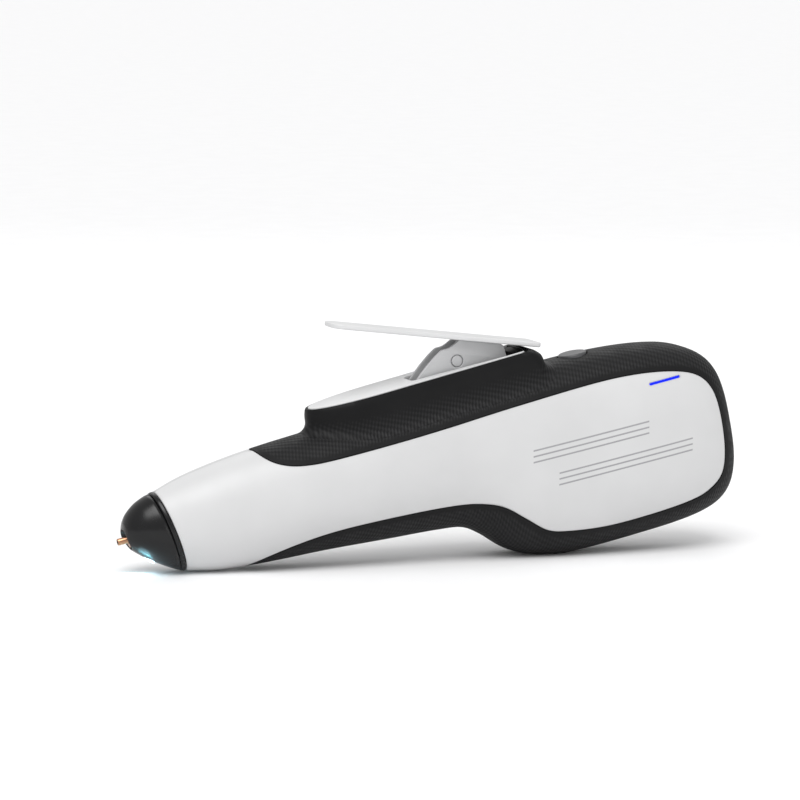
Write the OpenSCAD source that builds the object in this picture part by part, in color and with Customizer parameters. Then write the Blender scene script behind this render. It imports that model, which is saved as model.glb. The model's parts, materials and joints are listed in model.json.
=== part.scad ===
// Cordless hot-glue pen lying on its belly and the underside of its nose.
// The glue stick runs along one straight axis, tilted up to the rear.

/* [Body] */
// Tilt of the glue axis above the table, degrees
axis_tilt = 11.5; // [11.2:0.1:11.8]
// Height of the nozzle tip above the table
tip_height = 9.2; // [9.0:0.1:9.5]
// Wall of the housing shells and of the grip frame
wall = 2.0; // [1.6:0.1:2.2]
// Gap between neighbouring shells
shell_gap = 0.1; // [0.06:0.02:0.2]
// Points round each section of the body
section_points = 36; // [32:4:44]
// Steps between two neighbouring stations of the body
station_steps = 2; // [1:1:3]

/* [Glue path] */
// Bore the glue stick slides through
stick_bore = 7.6; // [7.4:0.1:7.7]
// Outside of the nozzle tube
nozzle_d = 2.0; // [1.8:0.1:2.2]
// Bore of the nozzle tube
nozzle_bore = 1.1; // [0.9:0.1:1.2]

/* [Lever] */
// Slope of the raised thumb paddle against the glue axis, degrees
lever_rest = 18.3; // [18:0.1:18.6]
// Length of the thumb paddle
paddle_l = 64.6; // [62:0.1:66]
// Width of the thumb paddle
paddle_w = 11.6; // [10:0.2:13]
// Thickness of the thumb paddle
paddle_t = 1.4; // [1.2:0.1:2]
// Diameter of the pin between the lever and its link
link_pin_d = 3.7; // [3.4:0.1:3.8]
// Diameter of the pin the lever turns on
hinge_pin_d = 3.0; // [2.6:0.1:3.2]
// Distance between the two pins of the link
link_l = 21; // [20.8:0.1:21.2]

/* [Power] */
// Diameter of the power button
button_d = 8.4; // [7.5:0.1:8.8]
// Diameter of the battery cell
cell_d = 18.3; // [17.8:0.1:18.4]
// Length of the battery cell
cell_l = 65; // [63:0.5:65]

/* [Output] */
// Sub-part to show

/* [Hidden] */
$fn = 48;
fit = 0.05;
nose_x = -94.9;
body_white = [0.87, 0.87, 0.88];
grip_black = [0.10, 0.10, 0.11];
yoke_grey = [0.66, 0.67, 0.69];
steel_grey = [0.62, 0.63, 0.65];
stick_r = stick_bore / 2;

// Stations of the body: along, top, bottom, half width, exponent, lean, rear share.
BODY = [
    [15.7, 11.5, -12.7, 9.6, 2.05, 0.17, 0],
    [24, 13.8, -14.65, 11.6, 2.1, 0.12, 0],
    [34, 15.4, -15.8, 12.9, 2.15, 0.07, 0],
    [46, 16.6, -16.6, 13.7, 2.2, 0.02, 0],
    [60, 17.3, -17.3, 14.1, 2.25, 0, 0],
    [78, 18.0, -18.7, 14.5, 2.3, 0, 0],
    [94, 18.6, -19.9, 14.9, 2.35, 0, 0],
    [102, 18.9, -21.2, 15.2, 2.4, 0, 0],
    [108, 19.2, -25.2, 15.4, 2.45, 0, 0],
    [114, 19.5, -30.7, 15.7, 2.5, 0, 0],
    [121, 19.8, -34.2, 16.0, 2.5, 0, 0],
    [130, 20.1, -36.3, 16.4, 2.55, 0, 0],
    [142, 20.3, -36.7, 16.7, 2.6, 0, 0],
    [155, 19.9, -36.5, 16.8, 2.6, 0, 0],
    [166, 18.8, -36.1, 16.7, 2.6, 0, 0.1],
    [175, 16.9, -35.1, 16.3, 2.6, 0, 0.3],
    [181, 14.2, -33.3, 15.2, 2.6, 0, 0.6],
    [185, 11.2, -30.3, 13.2, 2.6, 0, 0.8],
    [187.4, 7.8, -26.0, 10.6, 2.6, 0, 0.95],
    [188.3, 4.4, -22.5, 8.2, 2.6, 0, 1]
];

// Stations of the nose cone: along, top, bottom, half width, exponent, lean, rear share.
CONE = [
    [2.4, 2.9, -1.6, 2.6, 2, 0, 0],
    [3.3, 5.2, -2.6, 4.2, 2, 0.02, 0],
    [5.2, 7.4, -4.6, 6.0, 2, 0.05, 0],
    [8.4, 9.4, -7.7, 7.7, 2, 0.1, 0],
    [11.6, 10.6, -10.3, 8.8, 2, 0.14, 0],
    [14.3, 11.3, -12.3, 9.4, 2.05, 0.17, 0]
];

// Side outline of the white panel, from the top of the barrel round the rear to its underside.
PANEL = [
    [43, 18.5], [46, 14.5], [50, 12], [56, 10.5], [66, 10], [90, 10.5], [120, 12], [145, 13],
    [160, 12.5], [172, 10.5], [179, 7.5], [182.5, 2.5], [183.5, -5], [183, -15], [181, -22.5],
    [176.5, -26.5], [170, -28.5], [157, -29.5], [143, -29.5], [131, -28], [124, -26], [118, -21],
    [112, -16], [106, -13.5], [98, -12], [84, -11], [66, -10.5], [55, -11], [45, -12.5], [36, -15],
    [31, -17.5]
];

// Lever geometry in the axis frame, [along, up].
hinge_at = [131, 21.6];
lever_under = 5.0;
link_pin_in_lever = [-22.2, -1.3];
foot_up = 9;
foot_r = 1.5;

function spin(p, a) = [p[0] * cos(a) + p[1] * sin(a), -p[0] * sin(a) + p[1] * cos(a)];
link_top = hinge_at + spin(link_pin_in_lever, lever_rest);
link_drop = link_top[1] - foot_up;
link_reach = sqrt(link_l * link_l - link_drop * link_drop);
foot_at = [link_top[0] - link_reach, foot_up];
link_lean = atan2(link_reach, link_drop);

deck_tilt = 1.9;
deck_tip = [63.6, 24.1];
deck_end = 129.6;
deck_half = 8.1;
turret_reach = 22;
deck_t = 1.6;
button_at = [146.1, 19.7];
cell_at = [116.6, -20.5];
pcb_at = [136, 11];

function power(v, p) = sign(v) * pow(abs(v), p);
function blend(a, b, c, d, t) =
    0.5 * (2 * b + (c - a) * t + (2 * a - 5 * b + 4 * c - d) * t * t
        + (3 * b - a - 3 * c + d) * t * t * t);
function row(tab, i) = tab[max(0, min(len(tab) - 1, i))];
function between(tab, i, t) = blend(row(tab, i - 1), row(tab, i), row(tab, i + 1), row(tab, i + 2), t);
function smooth_rows(tab, steps) = concat(
    [for (i = [0 : len(tab) - 2]) for (k = [0 : steps - 1]) between(tab, i, k / steps)],
    [tab[len(tab) - 1]]
);
function ring_points(s, inset, m) = [
    for (k = [0 : m - 1])
        let (
            a = 360 * k / m,
            half_h = (s[1] - s[2]) / 2 - inset,
            up = (s[1] + s[2]) / 2 + half_h * power(sin(a), 2 / s[4]),
            out = (s[3] - inset) * power(cos(a), 2 / s[4])
        )
        [s[0] - s[5] * up - s[6] * inset, out, up]
];

// Closed mesh over n rings of m points each.
module ring_mesh(points, n, m) {
    sides = [
        for (i = [0 : n - 2]) for (k = [0 : m - 1])
            let (a = i * m + k, b = i * m + (k + 1) % m)
            each [[a, b + m, b], [a, a + m, b + m]]
    ];
    front = [[for (k = [0 : m - 1]) k]];
    rear = [[for (k = [m - 1 : -1 : 0]) (n - 1) * m + k]];
    polyhedron(points, concat(sides, front, rear));
}

// Skin of a row of sections, closed by a flat at both ends.
module loft(rows, inset, m) {
    ring_mesh([for (s = rows) each ring_points(s, inset, m)], len(rows), m);
}

// Direction of a path at its point i, and a side direction carried along it without twist.
function heading(path, i) =
    let (d = path[min(len(path) - 1, i + 1)] - path[max(0, i - 1)])
    d / norm(d);
function settle(s, d) = let (v = s - (s * d) * d) v / norm(v);
function sides_of(path, first) = [
    for (
        i = 0, s = settle(first, heading(path, 0));
        i < len(path);
        i = i + 1, s = settle(s, heading(path, min(i, len(path) - 1)))
    ) s
];

// Round wire along a path of points, moved sideways by shift.
module wire(path, r, m = 8, first = [0, 0, 1], shift = 0) {
    s = sides_of(path, first);
    points = [
        for (i = [0 : len(path) - 1])
            let (u = cross(heading(path, i), s[i]))
            for (k = [0 : m - 1])
                path[i] + shift * s[i] + r * (cos(360 * k / m) * s[i] + sin(360 * k / m) * u)
    ];
    ring_mesh(points, len(path), m);
}

// From the table frame to the frame of the glue axis: along, across, up.
module axis_frame() {
    translate([nose_x, 0, tip_height]) rotate([0, -axis_tilt, 0]) children();
}

// From the axis frame to the frame of the raised lever, origin on its hinge.
module lever_frame() {
    translate([hinge_at[0], 0, hinge_at[1]]) rotate([0, lever_rest, 0]) children();
}

// From the axis frame to the top of the deck, origin above its tip.
module deck_frame() {
    translate([deck_tip[0], 0, deck_tip[1]]) rotate([0, -deck_tilt, 0]) children();
}

// Cylinder along the glue axis.
module rod(a, b, r) {
    translate([a, 0, 0]) rotate([0, 90, 0]) cylinder(h = b - a, r = r);
}

// Cylinder across the pen at a point of the side view.
module cross_rod(p, a, b, r) {
    translate([p[0], a, p[1]]) rotate([-90, 0, 0]) cylinder(h = b - a, r = r);
}

// Block given by its two corners.
module block(a, b) {
    translate(a) cube(b - a);
}

// Plate cut from a side view outline.
module side_plate(a, b) {
    translate([0, b, 0]) rotate([90, 0, 0]) linear_extrude(b - a) children();
}

// One piece of skin, kept as a single welded mesh.
module skin() {
    resize([0, 0, 0]) children();
}

module panel_shape() {
    polygon(concat([[5, 40]], smooth_rows(PANEL, 2), [[5, -40]]));
}

module body_solid(inset) {
    steps = inset > 0 ? 1 : station_steps;
    loft(smooth_rows(BODY, steps), inset, inset > 0 ? 26 : section_points);
}

module body_shell() {
    difference() {
        body_solid(0);
        body_solid(wall);
        loft([[15, 11.35, -12.5, 9.5, 2.05, 0.17, 0],
            [16.5, 11.6, -12.9, 9.7, 2.05, 0.17, 0]], wall - 0.3, 24);
    }
}

module above_table() {
    rotate([0, axis_tilt, 0])
        translate([-20, -30, -tip_height]) cube([240, 60, 90]);
}

// Boat shape seen from above, in the deck frame: round tip, straight sides, rounded rear corners.
module boat(grow, tail) {
    r = 2.6 + grow;
    half = deck_half + grow;
    reach = turret_reach + grow;
    tip = [for (a = [90 : 9 : 270]) [turret_reach + reach * cos(a), half * power(sin(a), 0.9)]];
    low = [for (a = [-90 : 15 : 0]) [tail - r + r * cos(a), -half + r + r * sin(a)]];
    high = [for (a = [0 : 15 : 90]) [tail - r + r * cos(a), half - r + r * sin(a)]];
    polygon(concat(tip, low, high));
}

module turret_slice(up, grow, tail) {
    translate([0, 0, up]) linear_extrude(0.3) boat(grow, deck_end - deck_tip[0] + tail);
}

module turret_solid(grow) {
    deck_frame() hull() {
        turret_slice(-0.5, 0.7 + grow, 1.6);
        turret_slice(-1.4, 1.2 + grow, 3.4);
        turret_slice(-3.2, 1.6 + grow, 4.8);
        turret_slice(-12, 2.3 + grow, 6.2);
    }
}

// Each screw: place along the axis, height, and where its head seats across the pen.
SCREWS = [[38, -11.2, 5.6], [38, 11.2, 5.6], [121, 8.6, 8.4], [111.5, -12.9, 8.4], [156, 7.9, 8.4]];

module screw_spots() {
    for (p = SCREWS)
        translate([p[0], 0, p[1]]) children();
}

// The same places, moved across to each head's seat.
module screw_seats() {
    for (p = SCREWS)
        translate([p[0], p[2], p[1]]) children();
}

module boss(a, b, r) {
    translate([0, a, 0]) rotate([-90, 0, 0]) cylinder(h = b - a, r = r, $fn = 20);
}

module housing_left() {
    color(body_white) axis_frame() skin() intersection() {
        difference() {
            union() {
                intersection() {
                    body_shell();
                    side_plate(-30, 0) offset(delta = -shell_gap / 2) panel_shape();
                }
                intersection() {
                    screw_spots() boss(-30, -shell_gap / 2, 2.2);
                    body_solid(wall / 2);
                }
            }
            screw_spots() boss(-9, 2, 0.95);
            block([162.7, -20, 8.4], [172.9, -5, 9.3]);
        }
        block([0, -30, -60], [240, -shell_gap / 2, 60]);
        above_table();
    }
}

module housing_right() {
    color(body_white) axis_frame() skin() intersection() {
        difference() {
            union() {
                intersection() {
                    body_shell();
                    side_plate(0, 30) offset(delta = -shell_gap / 2) panel_shape();
                }
                intersection() {
                    screw_spots() boss(shell_gap / 2, 30, 2.6);
                    body_solid(wall / 2);
                }
            }
            screw_spots() boss(-2, 30, 1.2);
            screw_seats() boss(0, 30, 2.1);
        }
        block([0, shell_gap / 2, -60], [240, 30, 60]);
        above_table();
    }
}

module grip_band() {
    color(grip_black) axis_frame() skin() intersection() {
        difference() {
            body_shell();
            side_plate(-30, 30) offset(delta = shell_gap / 2) panel_shape();
            turret_solid(shell_gap);
            translate([button_at[0], 0, 10]) cylinder(h = 20, r = button_d / 2 + 0.35);
            rod(180, 195, stick_r + 1.4);
            hull() for (y = [-3.2, 3.2]) translate([180, y, -7.7]) rotate([0, 90, 0])
                cylinder(h = 15, r = 2.0, $fn = 24);
        }
        above_table();
    }
}

module turret() {
    tail = deck_end - deck_tip[0];
    color(grip_black) axis_frame() skin() difference() {
        turret_solid(0);
        deck_frame() difference() {
            union() {
                translate([0, 0, -deck_t - 0.1]) linear_extrude(5) boat(0.1, tail + 0.1);
                hull() {
                    turret_slice(-3, -0.8, 0);
                    turret_slice(-3, 0, 3.1);
                    turret_slice(-14, 0.5, 4.4);
                }
                translate([0, 0, -4]) linear_extrude(3) boat(-1.0, tail);
            }
            block([tail - 3, -6.8, -1.5], [tail + 2, 6.8, -0.5]);
        }
        cross_rod(hinge_at, -6.95, 6.95, 3.05);
        block([128, -6.95, 5], [hinge_at[0] + 3.05, 6.95, hinge_at[1]]);
    }
}

// Opening of the deck round the lever: narrow in front, widening to the rear end.
module deck_opening() {
    from = 99.1 - deck_tip[0];
    tail = deck_end - deck_tip[0];
    hull() for (y = [-2.8, 2.8]) translate([-3, y]) circle(r = 1.4);
    polygon([
        [-3.2, -4.2], [-3.2, 4.2], [0, 4.2], [24, 7.1], [tail - from + 1, 7.1],
        [tail - from + 1, -7.1], [24, -7.1], [0, -4.2]
    ]);
}

module deck() {
    color(body_white) axis_frame() deck_frame() difference() {
        translate([0, 0, -deck_t]) linear_extrude(deck_t) boat(0, deck_end - deck_tip[0]);
        translate([99.1 - deck_tip[0], 0, -4]) linear_extrude(8) deck_opening();
    }
}

module nose_cone() {
    color(grip_black) axis_frame() skin() difference() {
        loft(smooth_rows(CONE, 2), 0, 36);
        translate([1.2, 0, 0]) loft(CONE, 1.5, 24);
        translate([0.9, 0, 0]) loft([[13, 11.1, -12, 9.3, 2, 0.17, 0],
            [15, 11.6, -12.6, 9.6, 2, 0.17, 0]], 1.5, 24);
        rod(0, 9, 3.1);
        translate([1.9, 0, 0]) rotate([0, 90, 0]) cylinder(h = 1.6, r1 = 3.6, r2 = 2.6);
        led_frame() cylinder(h = 8, r = 1.9, center = true);
    }
}

module nose_ring() {
    color(grip_black) axis_frame() skin() difference() {
        loft([[14.38, 11.35, -12.35, 9.42, 2.05, 0.17, 0],
            [15.62, 11.55, -12.75, 9.62, 2.05, 0.17, 0]], -0.12, 40);
        loft([[14, 11.3, -12.3, 9.4, 2.05, 0.17, 0],
            [16, 11.6, -12.8, 9.65, 2.05, 0.17, 0]], 2.2, 24);
    }
}

module nozzle() {
    color([0.80, 0.52, 0.30]) axis_frame() difference() {
        union() {
            rotate([0, 90, 0]) rotate_extrude() polygon([
                [0, 0.5], [nozzle_d / 2 - 0.15, 0.5], [nozzle_d / 2, 0.65], [nozzle_d / 2, 3.2],
                [1.35, 3.6], [2.0, 3.6], [2.0, 5.6], [2.9, 5.6], [2.9, 7.9], [2.2, 7.9],
                [2.2, 13.4], [0, 13.4]
            ]);
            translate([3.7, 0, 0]) rotate([0, 90, 0]) cylinder(h = 1.7, r = 2.55, $fn = 6);
        }
        rod(0, 8, nozzle_bore / 2);
        translate([7.9, 0, 0]) rotate([0, 90, 0]) cylinder(h = 6, r1 = nozzle_bore / 2, r2 = 1.5);
    }
}

// Frame of the work light, pointing out of the underside of the cone.
module led_frame() {
    translate([8.2, 0, -7.4]) rotate([0, -132, 0]) children();
}

module led_window() {
    color([0.82, 0.93, 0.97]) axis_frame() led_frame()
        translate([0, 0, -1.8]) cylinder(h = 1.8, r = 1.8);
}

module work_led() {
    color([0.92, 0.92, 0.86]) axis_frame() led_frame() {
        translate([-1.25, -1.25, -2.9]) cube([2.5, 2.5, 0.9]);
        translate([0, 0, -2.02]) cylinder(h = 0.12, r = 1.0);
    }
}

module melt_chamber() {
    color([0.72, 0.72, 0.73]) axis_frame() difference() {
        union() {
            rod(8.05, 13, 3.4);
            rod(12, 40, 4.5);
            translate([14, -2.5, -4.9]) cube([18, 5, 9.8]);
        }
        rod(7, 13.45, 2.3);
        translate([13.4, 0, 0]) rotate([0, 90, 0]) cylinder(h = 12, r1 = 1.4, r2 = 3.6);
        rod(25.3, 41, 3.6);
    }
}

module ptc_heater() {
    color([0.86, 0.82, 0.72]) axis_frame() for (s = [-1, 1]) difference() {
        translate([15, -2.3, s > 0 ? 4.95 : -5.95]) cube([16, 4.6, 1.0]);
        translate([16.5, -1.6, s > 0 ? 5.75 : -5.95]) cube([13, 3.2, 0.2]);
    }
}

module heater_clip() {
    color(steel_grey) axis_frame() difference() {
        rod(18, 28, 6.75);
        rod(17, 29, 6.5);
        block([17, -1.4, 5], [29, 1.4, 8]);
    }
}

module insulation_sleeve() {
    color([0.88, 0.80, 0.62]) axis_frame() difference() {
        rod(16.8, 34, 7.3);
        rod(16, 35, 6.82);
    }
}

module inlet_sleeve() {
    color([0.78, 0.28, 0.22]) axis_frame() difference() {
        rod(34.1, 53.8, 5.4);
        rod(34, 40.1, 4.52);
        rod(39, 55, stick_r - 0.1);
    }
}

module sleeve_clamp() {
    color(steel_grey) axis_frame() difference() {
        rod(35.8, 38, 5.9);
        rod(35, 39, 5.42);
    }
}

module thermal_sensor() {
    color([0.80, 0.72, 0.60]) axis_frame() {
        translate([29.9, 4.55, -1]) cube([3, 1.4, 2]);
        translate([31.4, 5.25, 0]) rotate([0, 90, 0]) cylinder(h = 2.6, r = 0.6);
    }
}

module chassis() {
    color([0.20, 0.21, 0.23]) axis_frame() difference() {
        union() {
            rod(53.9, 57.5, 8.6);
            block([54, -7.6, -9.4], [160, 7.6, -7.8]);
            for (s = [-1, 1]) {
                block([57, s > 0 ? 7.6 : -9.2, -8.5], [116, s > 0 ? 9.2 : -7.6, 6]);
                block([116, s > 0 ? 4.7 : -9.2, -8.5], [140, s > 0 ? 9.2 : -4.7, 5.6]);
                block([128.2, s > 0 ? 4.7 : -6.7, 5], [133.8, s > 0 ? 6.7 : -4.7, hinge_at[1]]);
                cross_rod(hinge_at, s > 0 ? 4.7 : -6.7, s > 0 ? 6.7 : -4.7, 2.8);
                block([140, s > 0 ? 7.4 : -9.2, -9.4], [184, s > 0 ? 9.2 : -7.4, -5.6]);
                block([160, s > 0 ? 6.2 : -9.2, -11.0], [184, s > 0 ? 9.2 : -6.2, -10.5]);
                block([140, s > 0 ? 7.4 : -9.2, -8], [143, s > 0 ? 9.2 : -7.4, 10.95]);
                block([168, s > 0 ? 6.6 : -8.4, -8], [171, s > 0 ? 8.4 : -6.6, 10.95]);
            }
            block([116, -5, -8], [119, 5, 0]);
            block([150, -9.2, -8.5], [153, 9.2, 0]);
            block([168, -9.2, -8.5], [171, 9.2, 1]);
            for (u = [124, 166]) block([u, -11.6, -23], [u + 3, 11.6, -7.8]);
        }
        rod(50, 60, stick_r);
        rod(52, 55.6, 5.42);
        rod(115, 185, stick_r + 0.95);
        for (s = [-1, 1])
            block([60, s > 0 ? 6 : -8.9, -1.9], [114.5, s > 0 ? 8.9 : -6, 1.9]);
        translate([110, 0, cell_at[1]]) rotate([0, 90, 0]) cylinder(h = 80, r = cell_d / 2 + 0.1);
        cross_rod(hinge_at, -8, 8, hinge_pin_d / 2);
        block([160.1, -8.3, -10.5], [190, 8.3, -9.3]);
        cross_rod([121, 8.6], -12, 12, 2.75);
    }
}

module guide_tube() {
    color([0.86, 0.86, 0.84]) axis_frame() difference() {
        rod(114.6, 184.8, stick_r + 0.9);
        rod(114, 186, stick_r);
    }
}

module inlet_bush() {
    color([0.12, 0.12, 0.13]) axis_frame() difference() {
        rod(184.9, 188.2, stick_r + 1.3);
        rod(184, 190, stick_r);
        translate([187.6, 0, 0]) rotate([0, 90, 0]) cylinder(h = 0.61, r1 = stick_r, r2 = stick_r + 0.6);
    }
}

module feed_carriage() {
    f = foot_at[0];
    color([0.90, 0.55, 0.15]) axis_frame() difference() {
        union() {
            block([f - 12, -5.9, -5.9], [f + 9, 5.9, 5.0]);
            block([f - 10, -8.5, -1.5], [f + 8, 8.5, 1.5]);
            for (s = [-1, 1]) {
                block([f - 3.8, s > 0 ? 2.3 : -4.5, 4], [f + 3.2, s > 0 ? 4.5 : -2.3, foot_up + 2.9]);
                block([f - 10.4, s > 0 ? 1.7 : -3.6, 4], [f - 5.6, s > 0 ? 3.6 : -1.7, 9.2]);
            }
        }
        rod(f - 13, f + 10, stick_r);
        cross_rod([f, foot_up], -6, 6, foot_r + 0.35);
        cross_rod([f - 0.9, foot_up - 0.5], -6, 6, foot_r + 0.35);
        cross_rod([f - 0.45, foot_up - 0.25], -6, 6, foot_r + 0.45);
        block([f - 10.6, -1.7, 0], [f - 5.2, 1.7, 10]);
        cross_rod([f - 8, 7], -4, 4, 0.8);
    }
}

module grip_jaw() {
    f = foot_at[0];
    color(steel_grey) axis_frame() difference() {
        union() {
            cross_rod([f - 8, 7], -1.3, 1.3, 1.7);
            side_plate(-1.3, 1.3) polygon([
                [f - 9.3, 7], [f - 8.9, 4.6], [f - 8.3, 3.55], [f - 7.7, 4.2], [f - 7.1, 3.6],
                [f - 6.6, 4.9], [f - 6.4, 7]
            ]);
        }
        cross_rod([f - 8, 7], -2, 2, 0.86);
    }
}

module jaw_pin() {
    color(steel_grey) axis_frame() cross_rod([foot_at[0] - 8, 7], -3.6, 3.6, 0.8);
}

module return_spring() {
    from = 57.9;
    to = foot_at[0] - 12.4;
    turns = 9;
    seg = 18;
    color(steel_grey) axis_frame() wire([
        for (i = [0 : turns * seg])
            let (a = 360 * i / seg, t = i / (turns * seg))
            [from + (to - from) * t, 4.9 * cos(a), 4.9 * sin(a)]
    ], 0.38, 6);
}

module lever_paddle() {
    front = paddle_l - 2.6;
    half = paddle_w / 2;
    tip = [for (a = [90 : 10 : 270]) [-front + 4 + 4 * cos(a), half * power(sin(a), 0.6)]];
    low = [for (a = [-90 : 15 : 0]) [2.6 - 1.5 + 1.5 * cos(a), -half + 1.5 + 1.5 * sin(a)]];
    high = [for (a = [0 : 15 : 90]) [2.6 - 1.5 + 1.5 * cos(a), half - 1.5 + 1.5 * sin(a)]];
    color(body_white) axis_frame() lever_frame() translate([0, 0, lever_under])
        linear_extrude(paddle_t) polygon(concat(tip, low, high));
}

module cheek_shape() {
    polygon([
        [-34.5, -9.3], [-33.4, -7.0], [-31.4, -3.8], [-29.2, -0.7], [-27.4, 1.4], [-25.2, 2.2],
        [-23.6, 3.5], [-22.2, lever_under - fit], [-9.6, lever_under - fit], [-8.3, 4.4], [-7.6, 2.9],
        [-6.9, 1.2], [-4, 0.9], [-1.6, 2.4], [0, 2.85], [1.5, 2.4], [2.6, 1.2], [2.85, 0], [2.5, -1.4],
        [1.4, -2.5], [0, -2.85], [-6, -4.3], [-16, -5.9], [-26, -8.2], [-32.6, -10.1], [-34.0, -10.0]
    ]);
}

module lever_yoke() {
    color(yoke_grey) axis_frame() lever_frame() difference() {
        union() {
            side_plate(-3.2, -2.1) cheek_shape();
            side_plate(2.1, 3.2) cheek_shape();
            block([-21.4, -2.3, lever_under - 1.3], [-9.6, 2.3, lever_under - fit]);
        }
        cross_rod(link_pin_in_lever, -5, 5, link_pin_d / 2);
        cross_rod([0, 0], -5, 5, hinge_pin_d / 2 + fit);
    }
}

module link_pin() {
    color([0.70, 0.71, 0.73]) axis_frame() lever_frame()
        cross_rod(link_pin_in_lever, -3.25, 3.25, link_pin_d / 2);
}

module hinge_pin() {
    color(steel_grey) axis_frame() cross_rod(hinge_at, -6.7, 6.7, hinge_pin_d / 2);
}

module drive_link() {
    color([0.55, 0.56, 0.58]) axis_frame() translate([link_top[0], 0, link_top[1]])
        rotate([0, 180 + link_lean, 0]) difference() {
            union() {
                cross_rod([0, 0], -1.7, 1.7, 3.1);
                cross_rod([0, link_l], -1.7, 1.7, 2.6);
                block([-1.9, -1.7, 1.5], [1.9, 1.7, link_l - 1]);
            }
            cross_rod([0, 0], -3, 3, link_pin_d / 2 + fit);
            cross_rod([0, link_l], -3, 3, foot_r);
        }
}

module foot_pin() {
    color(steel_grey) axis_frame() cross_rod(foot_at, -4.5, 4.5, foot_r);
}

module lever_spring() {
    seg = 16;
    turns = 3.5;
    coil = [
        for (i = [0 : turns * seg])
            let (a = 90 + 360 * i / seg, t = i / (turns * seg))
            [2.25 * cos(a), -1.5 + 3 * t, 2.25 * sin(a)]
    ];
    color(steel_grey) axis_frame() translate([hinge_at[0], 0, hinge_at[1]])
        wire(concat([[-8, -1.5, 5.3], [-5.6, -1.5, 2.6]], coil, [[-5, 1.5, -3.2], [-9, 1.5, -4.2]]), 0.35, 6);
}

module power_button() {
    r = button_d / 2;
    color([0.22, 0.22, 0.23]) axis_frame() translate([button_at[0], 0, button_at[1]]) {
        rotate_extrude() polygon([
            [0, -3.4], [1.3, -3.4], [1.3, -3.2], [r + 0.9, -3.2], [r + 0.9, -2.7], [r, -2.7],
            [r, 0.7], [r - 0.15, 1.0], [r - 0.5, 1.15], [0, 1.15]
        ]);
    }
}

module tact_plunger() {
    color([0.12, 0.12, 0.12]) axis_frame() translate([button_at[0], 0, pcb_at[1] + 2.3])
        cylinder(h = 2.95, r = 1.7);
}

module tact_switch() {
    color([0.75, 0.75, 0.76]) axis_frame() translate([button_at[0], 0, pcb_at[1] + 1.25])
        difference() {
            translate([-3, -3, 0]) cube([6, 6, 3.3]);
            translate([0, 0, 0.3]) cylinder(h = 6, r = 1.78);
        }
}

module main_pcb() {
    color([0.05, 0.32, 0.16]) axis_frame() difference() {
        block([pcb_at[0], -8.3, pcb_at[1]], [172, 8.3, pcb_at[1] + 1.2]);
        for (u = [141.5, 169.5]) for (s = [-1, 1])
            translate([u, 7.1 * s, 8]) cylinder(h = 8, r = 0.8);
    }
}

module pcb_parts() {
    t = pcb_at[1] + 1.25;
    color([0.14, 0.14, 0.15]) axis_frame() {
        block([153, -3, t], [159, 3, t + 1.1]);
        block([161.5, -2.4, t], [165.5, 2.4, t + 1.4]);
        block([152, 4.6, t], [154.6, 6.4, t + 0.9]);
        block([157, 4.6, t], [160.6, 6.4, t + 0.9]);
        block([162, -6.2, t], [166, -4, t + 1.2]);
        translate([168.6, 0, t]) cylinder(h = 2.2, r = 1.8);
        block([137, -6, t], [140.4, -2.6, t + 2.0]);
        block([137, 2.6, t], [140.4, 6, t + 2.0]);
    }
}

module status_led() {
    color([0.85, 0.90, 0.98]) axis_frame()
        block([164.6, -8.2, pcb_at[1] - 2.4], [167.7, -6.6, pcb_at[1] - 0.05]);
}

module light_pipe() {
    color([0.20, 0.35, 0.95]) axis_frame() translate([0, 0, 8.5]) linear_extrude(0.7)
        polygon([[162.8, -14.75], [172.8, -14.0], [172.8, -12], [169, -8.4], [165.4, -8.4], [162.8, -12]]);
}

module charge_pcb() {
    color([0.05, 0.32, 0.16]) axis_frame() block([160.4, -8.1, -10.45], [185.4, 8.1, -9.45]);
}

module charge_port() {
    module stadium(r, h) {
        for (y = [-2.9, 2.9]) translate([0, y, 0]) rotate([0, 90, 0]) cylinder(h = h, r = r);
        translate([0, -2.9, -r]) cube([h, 5.8, 2 * r]);
    }
    color([0.70, 0.71, 0.72]) axis_frame() translate([180.8, 0, -7.75]) {
        difference() {
            stadium(1.6, 7.3);
            translate([0.8, 0, 0]) stadium(1.3, 8);
        }
        translate([0.6, -2.6, -0.32]) cube([5.6, 5.2, 0.64]);
    }
}

module battery_cell() {
    color([0.16, 0.42, 0.62]) axis_frame() translate([cell_at[0], 0, cell_at[1]])
        rotate([0, 90, 0]) rotate_extrude() polygon([
            [0, -0.9], [2.9, -0.9], [2.9, 0], [cell_d / 2 - 0.8, 0], [cell_d / 2, 0.8],
            [cell_d / 2, cell_l - 0.8], [cell_d / 2 - 0.8, cell_l], [0, cell_l]
        ]);
}

module battery_tabs() {
    color([0.78, 0.78, 0.76]) axis_frame() {
        block([cell_at[0] - 1.2, -2.5, cell_at[1] - 2], [cell_at[0] - 0.95, 2.5, -11.2]);
        block([cell_at[0] + cell_l + 0.05, -2.5, cell_at[1] - 3],
            [cell_at[0] + cell_l + 0.3, 2.5, -12.5]);
    }
}

module battery_pad() {
    color([0.25, 0.25, 0.26]) axis_frame() difference() {
        block([130, -5, -33.4], [162, 5, -26]);
        translate([120, 0, cell_at[1]]) rotate([0, 90, 0]) cylinder(h = 50, r = cell_d / 2 + 0.05);
    }
}

// Two leads side by side along one route.
module lead_pair(path, gap, r) {
    for (s = [-1, 1]) wire(smooth_rows(path, 3), r, 6, shift = s * gap / 2);
}

module heater_leads() {
    color([0.75, 0.10, 0.08]) axis_frame() lead_pair([
        [137.9, 7.5, 13.5], [136, 7.6, 13.3], [132.5, 7.8, 12.7], [117, 7.8, 12.5], [108, 7.8, 9.6],
        [66, 7.6, 9.0],
        [56, 8.0, 7.6], [50, 7.6, 4.2], [44, 6.6, 2.6], [38.5, 6.9, 1.2], [35, 6.0, 0.6], [34.2, 5.7, 0.4]
    ], 1.1, 0.45);
}

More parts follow.
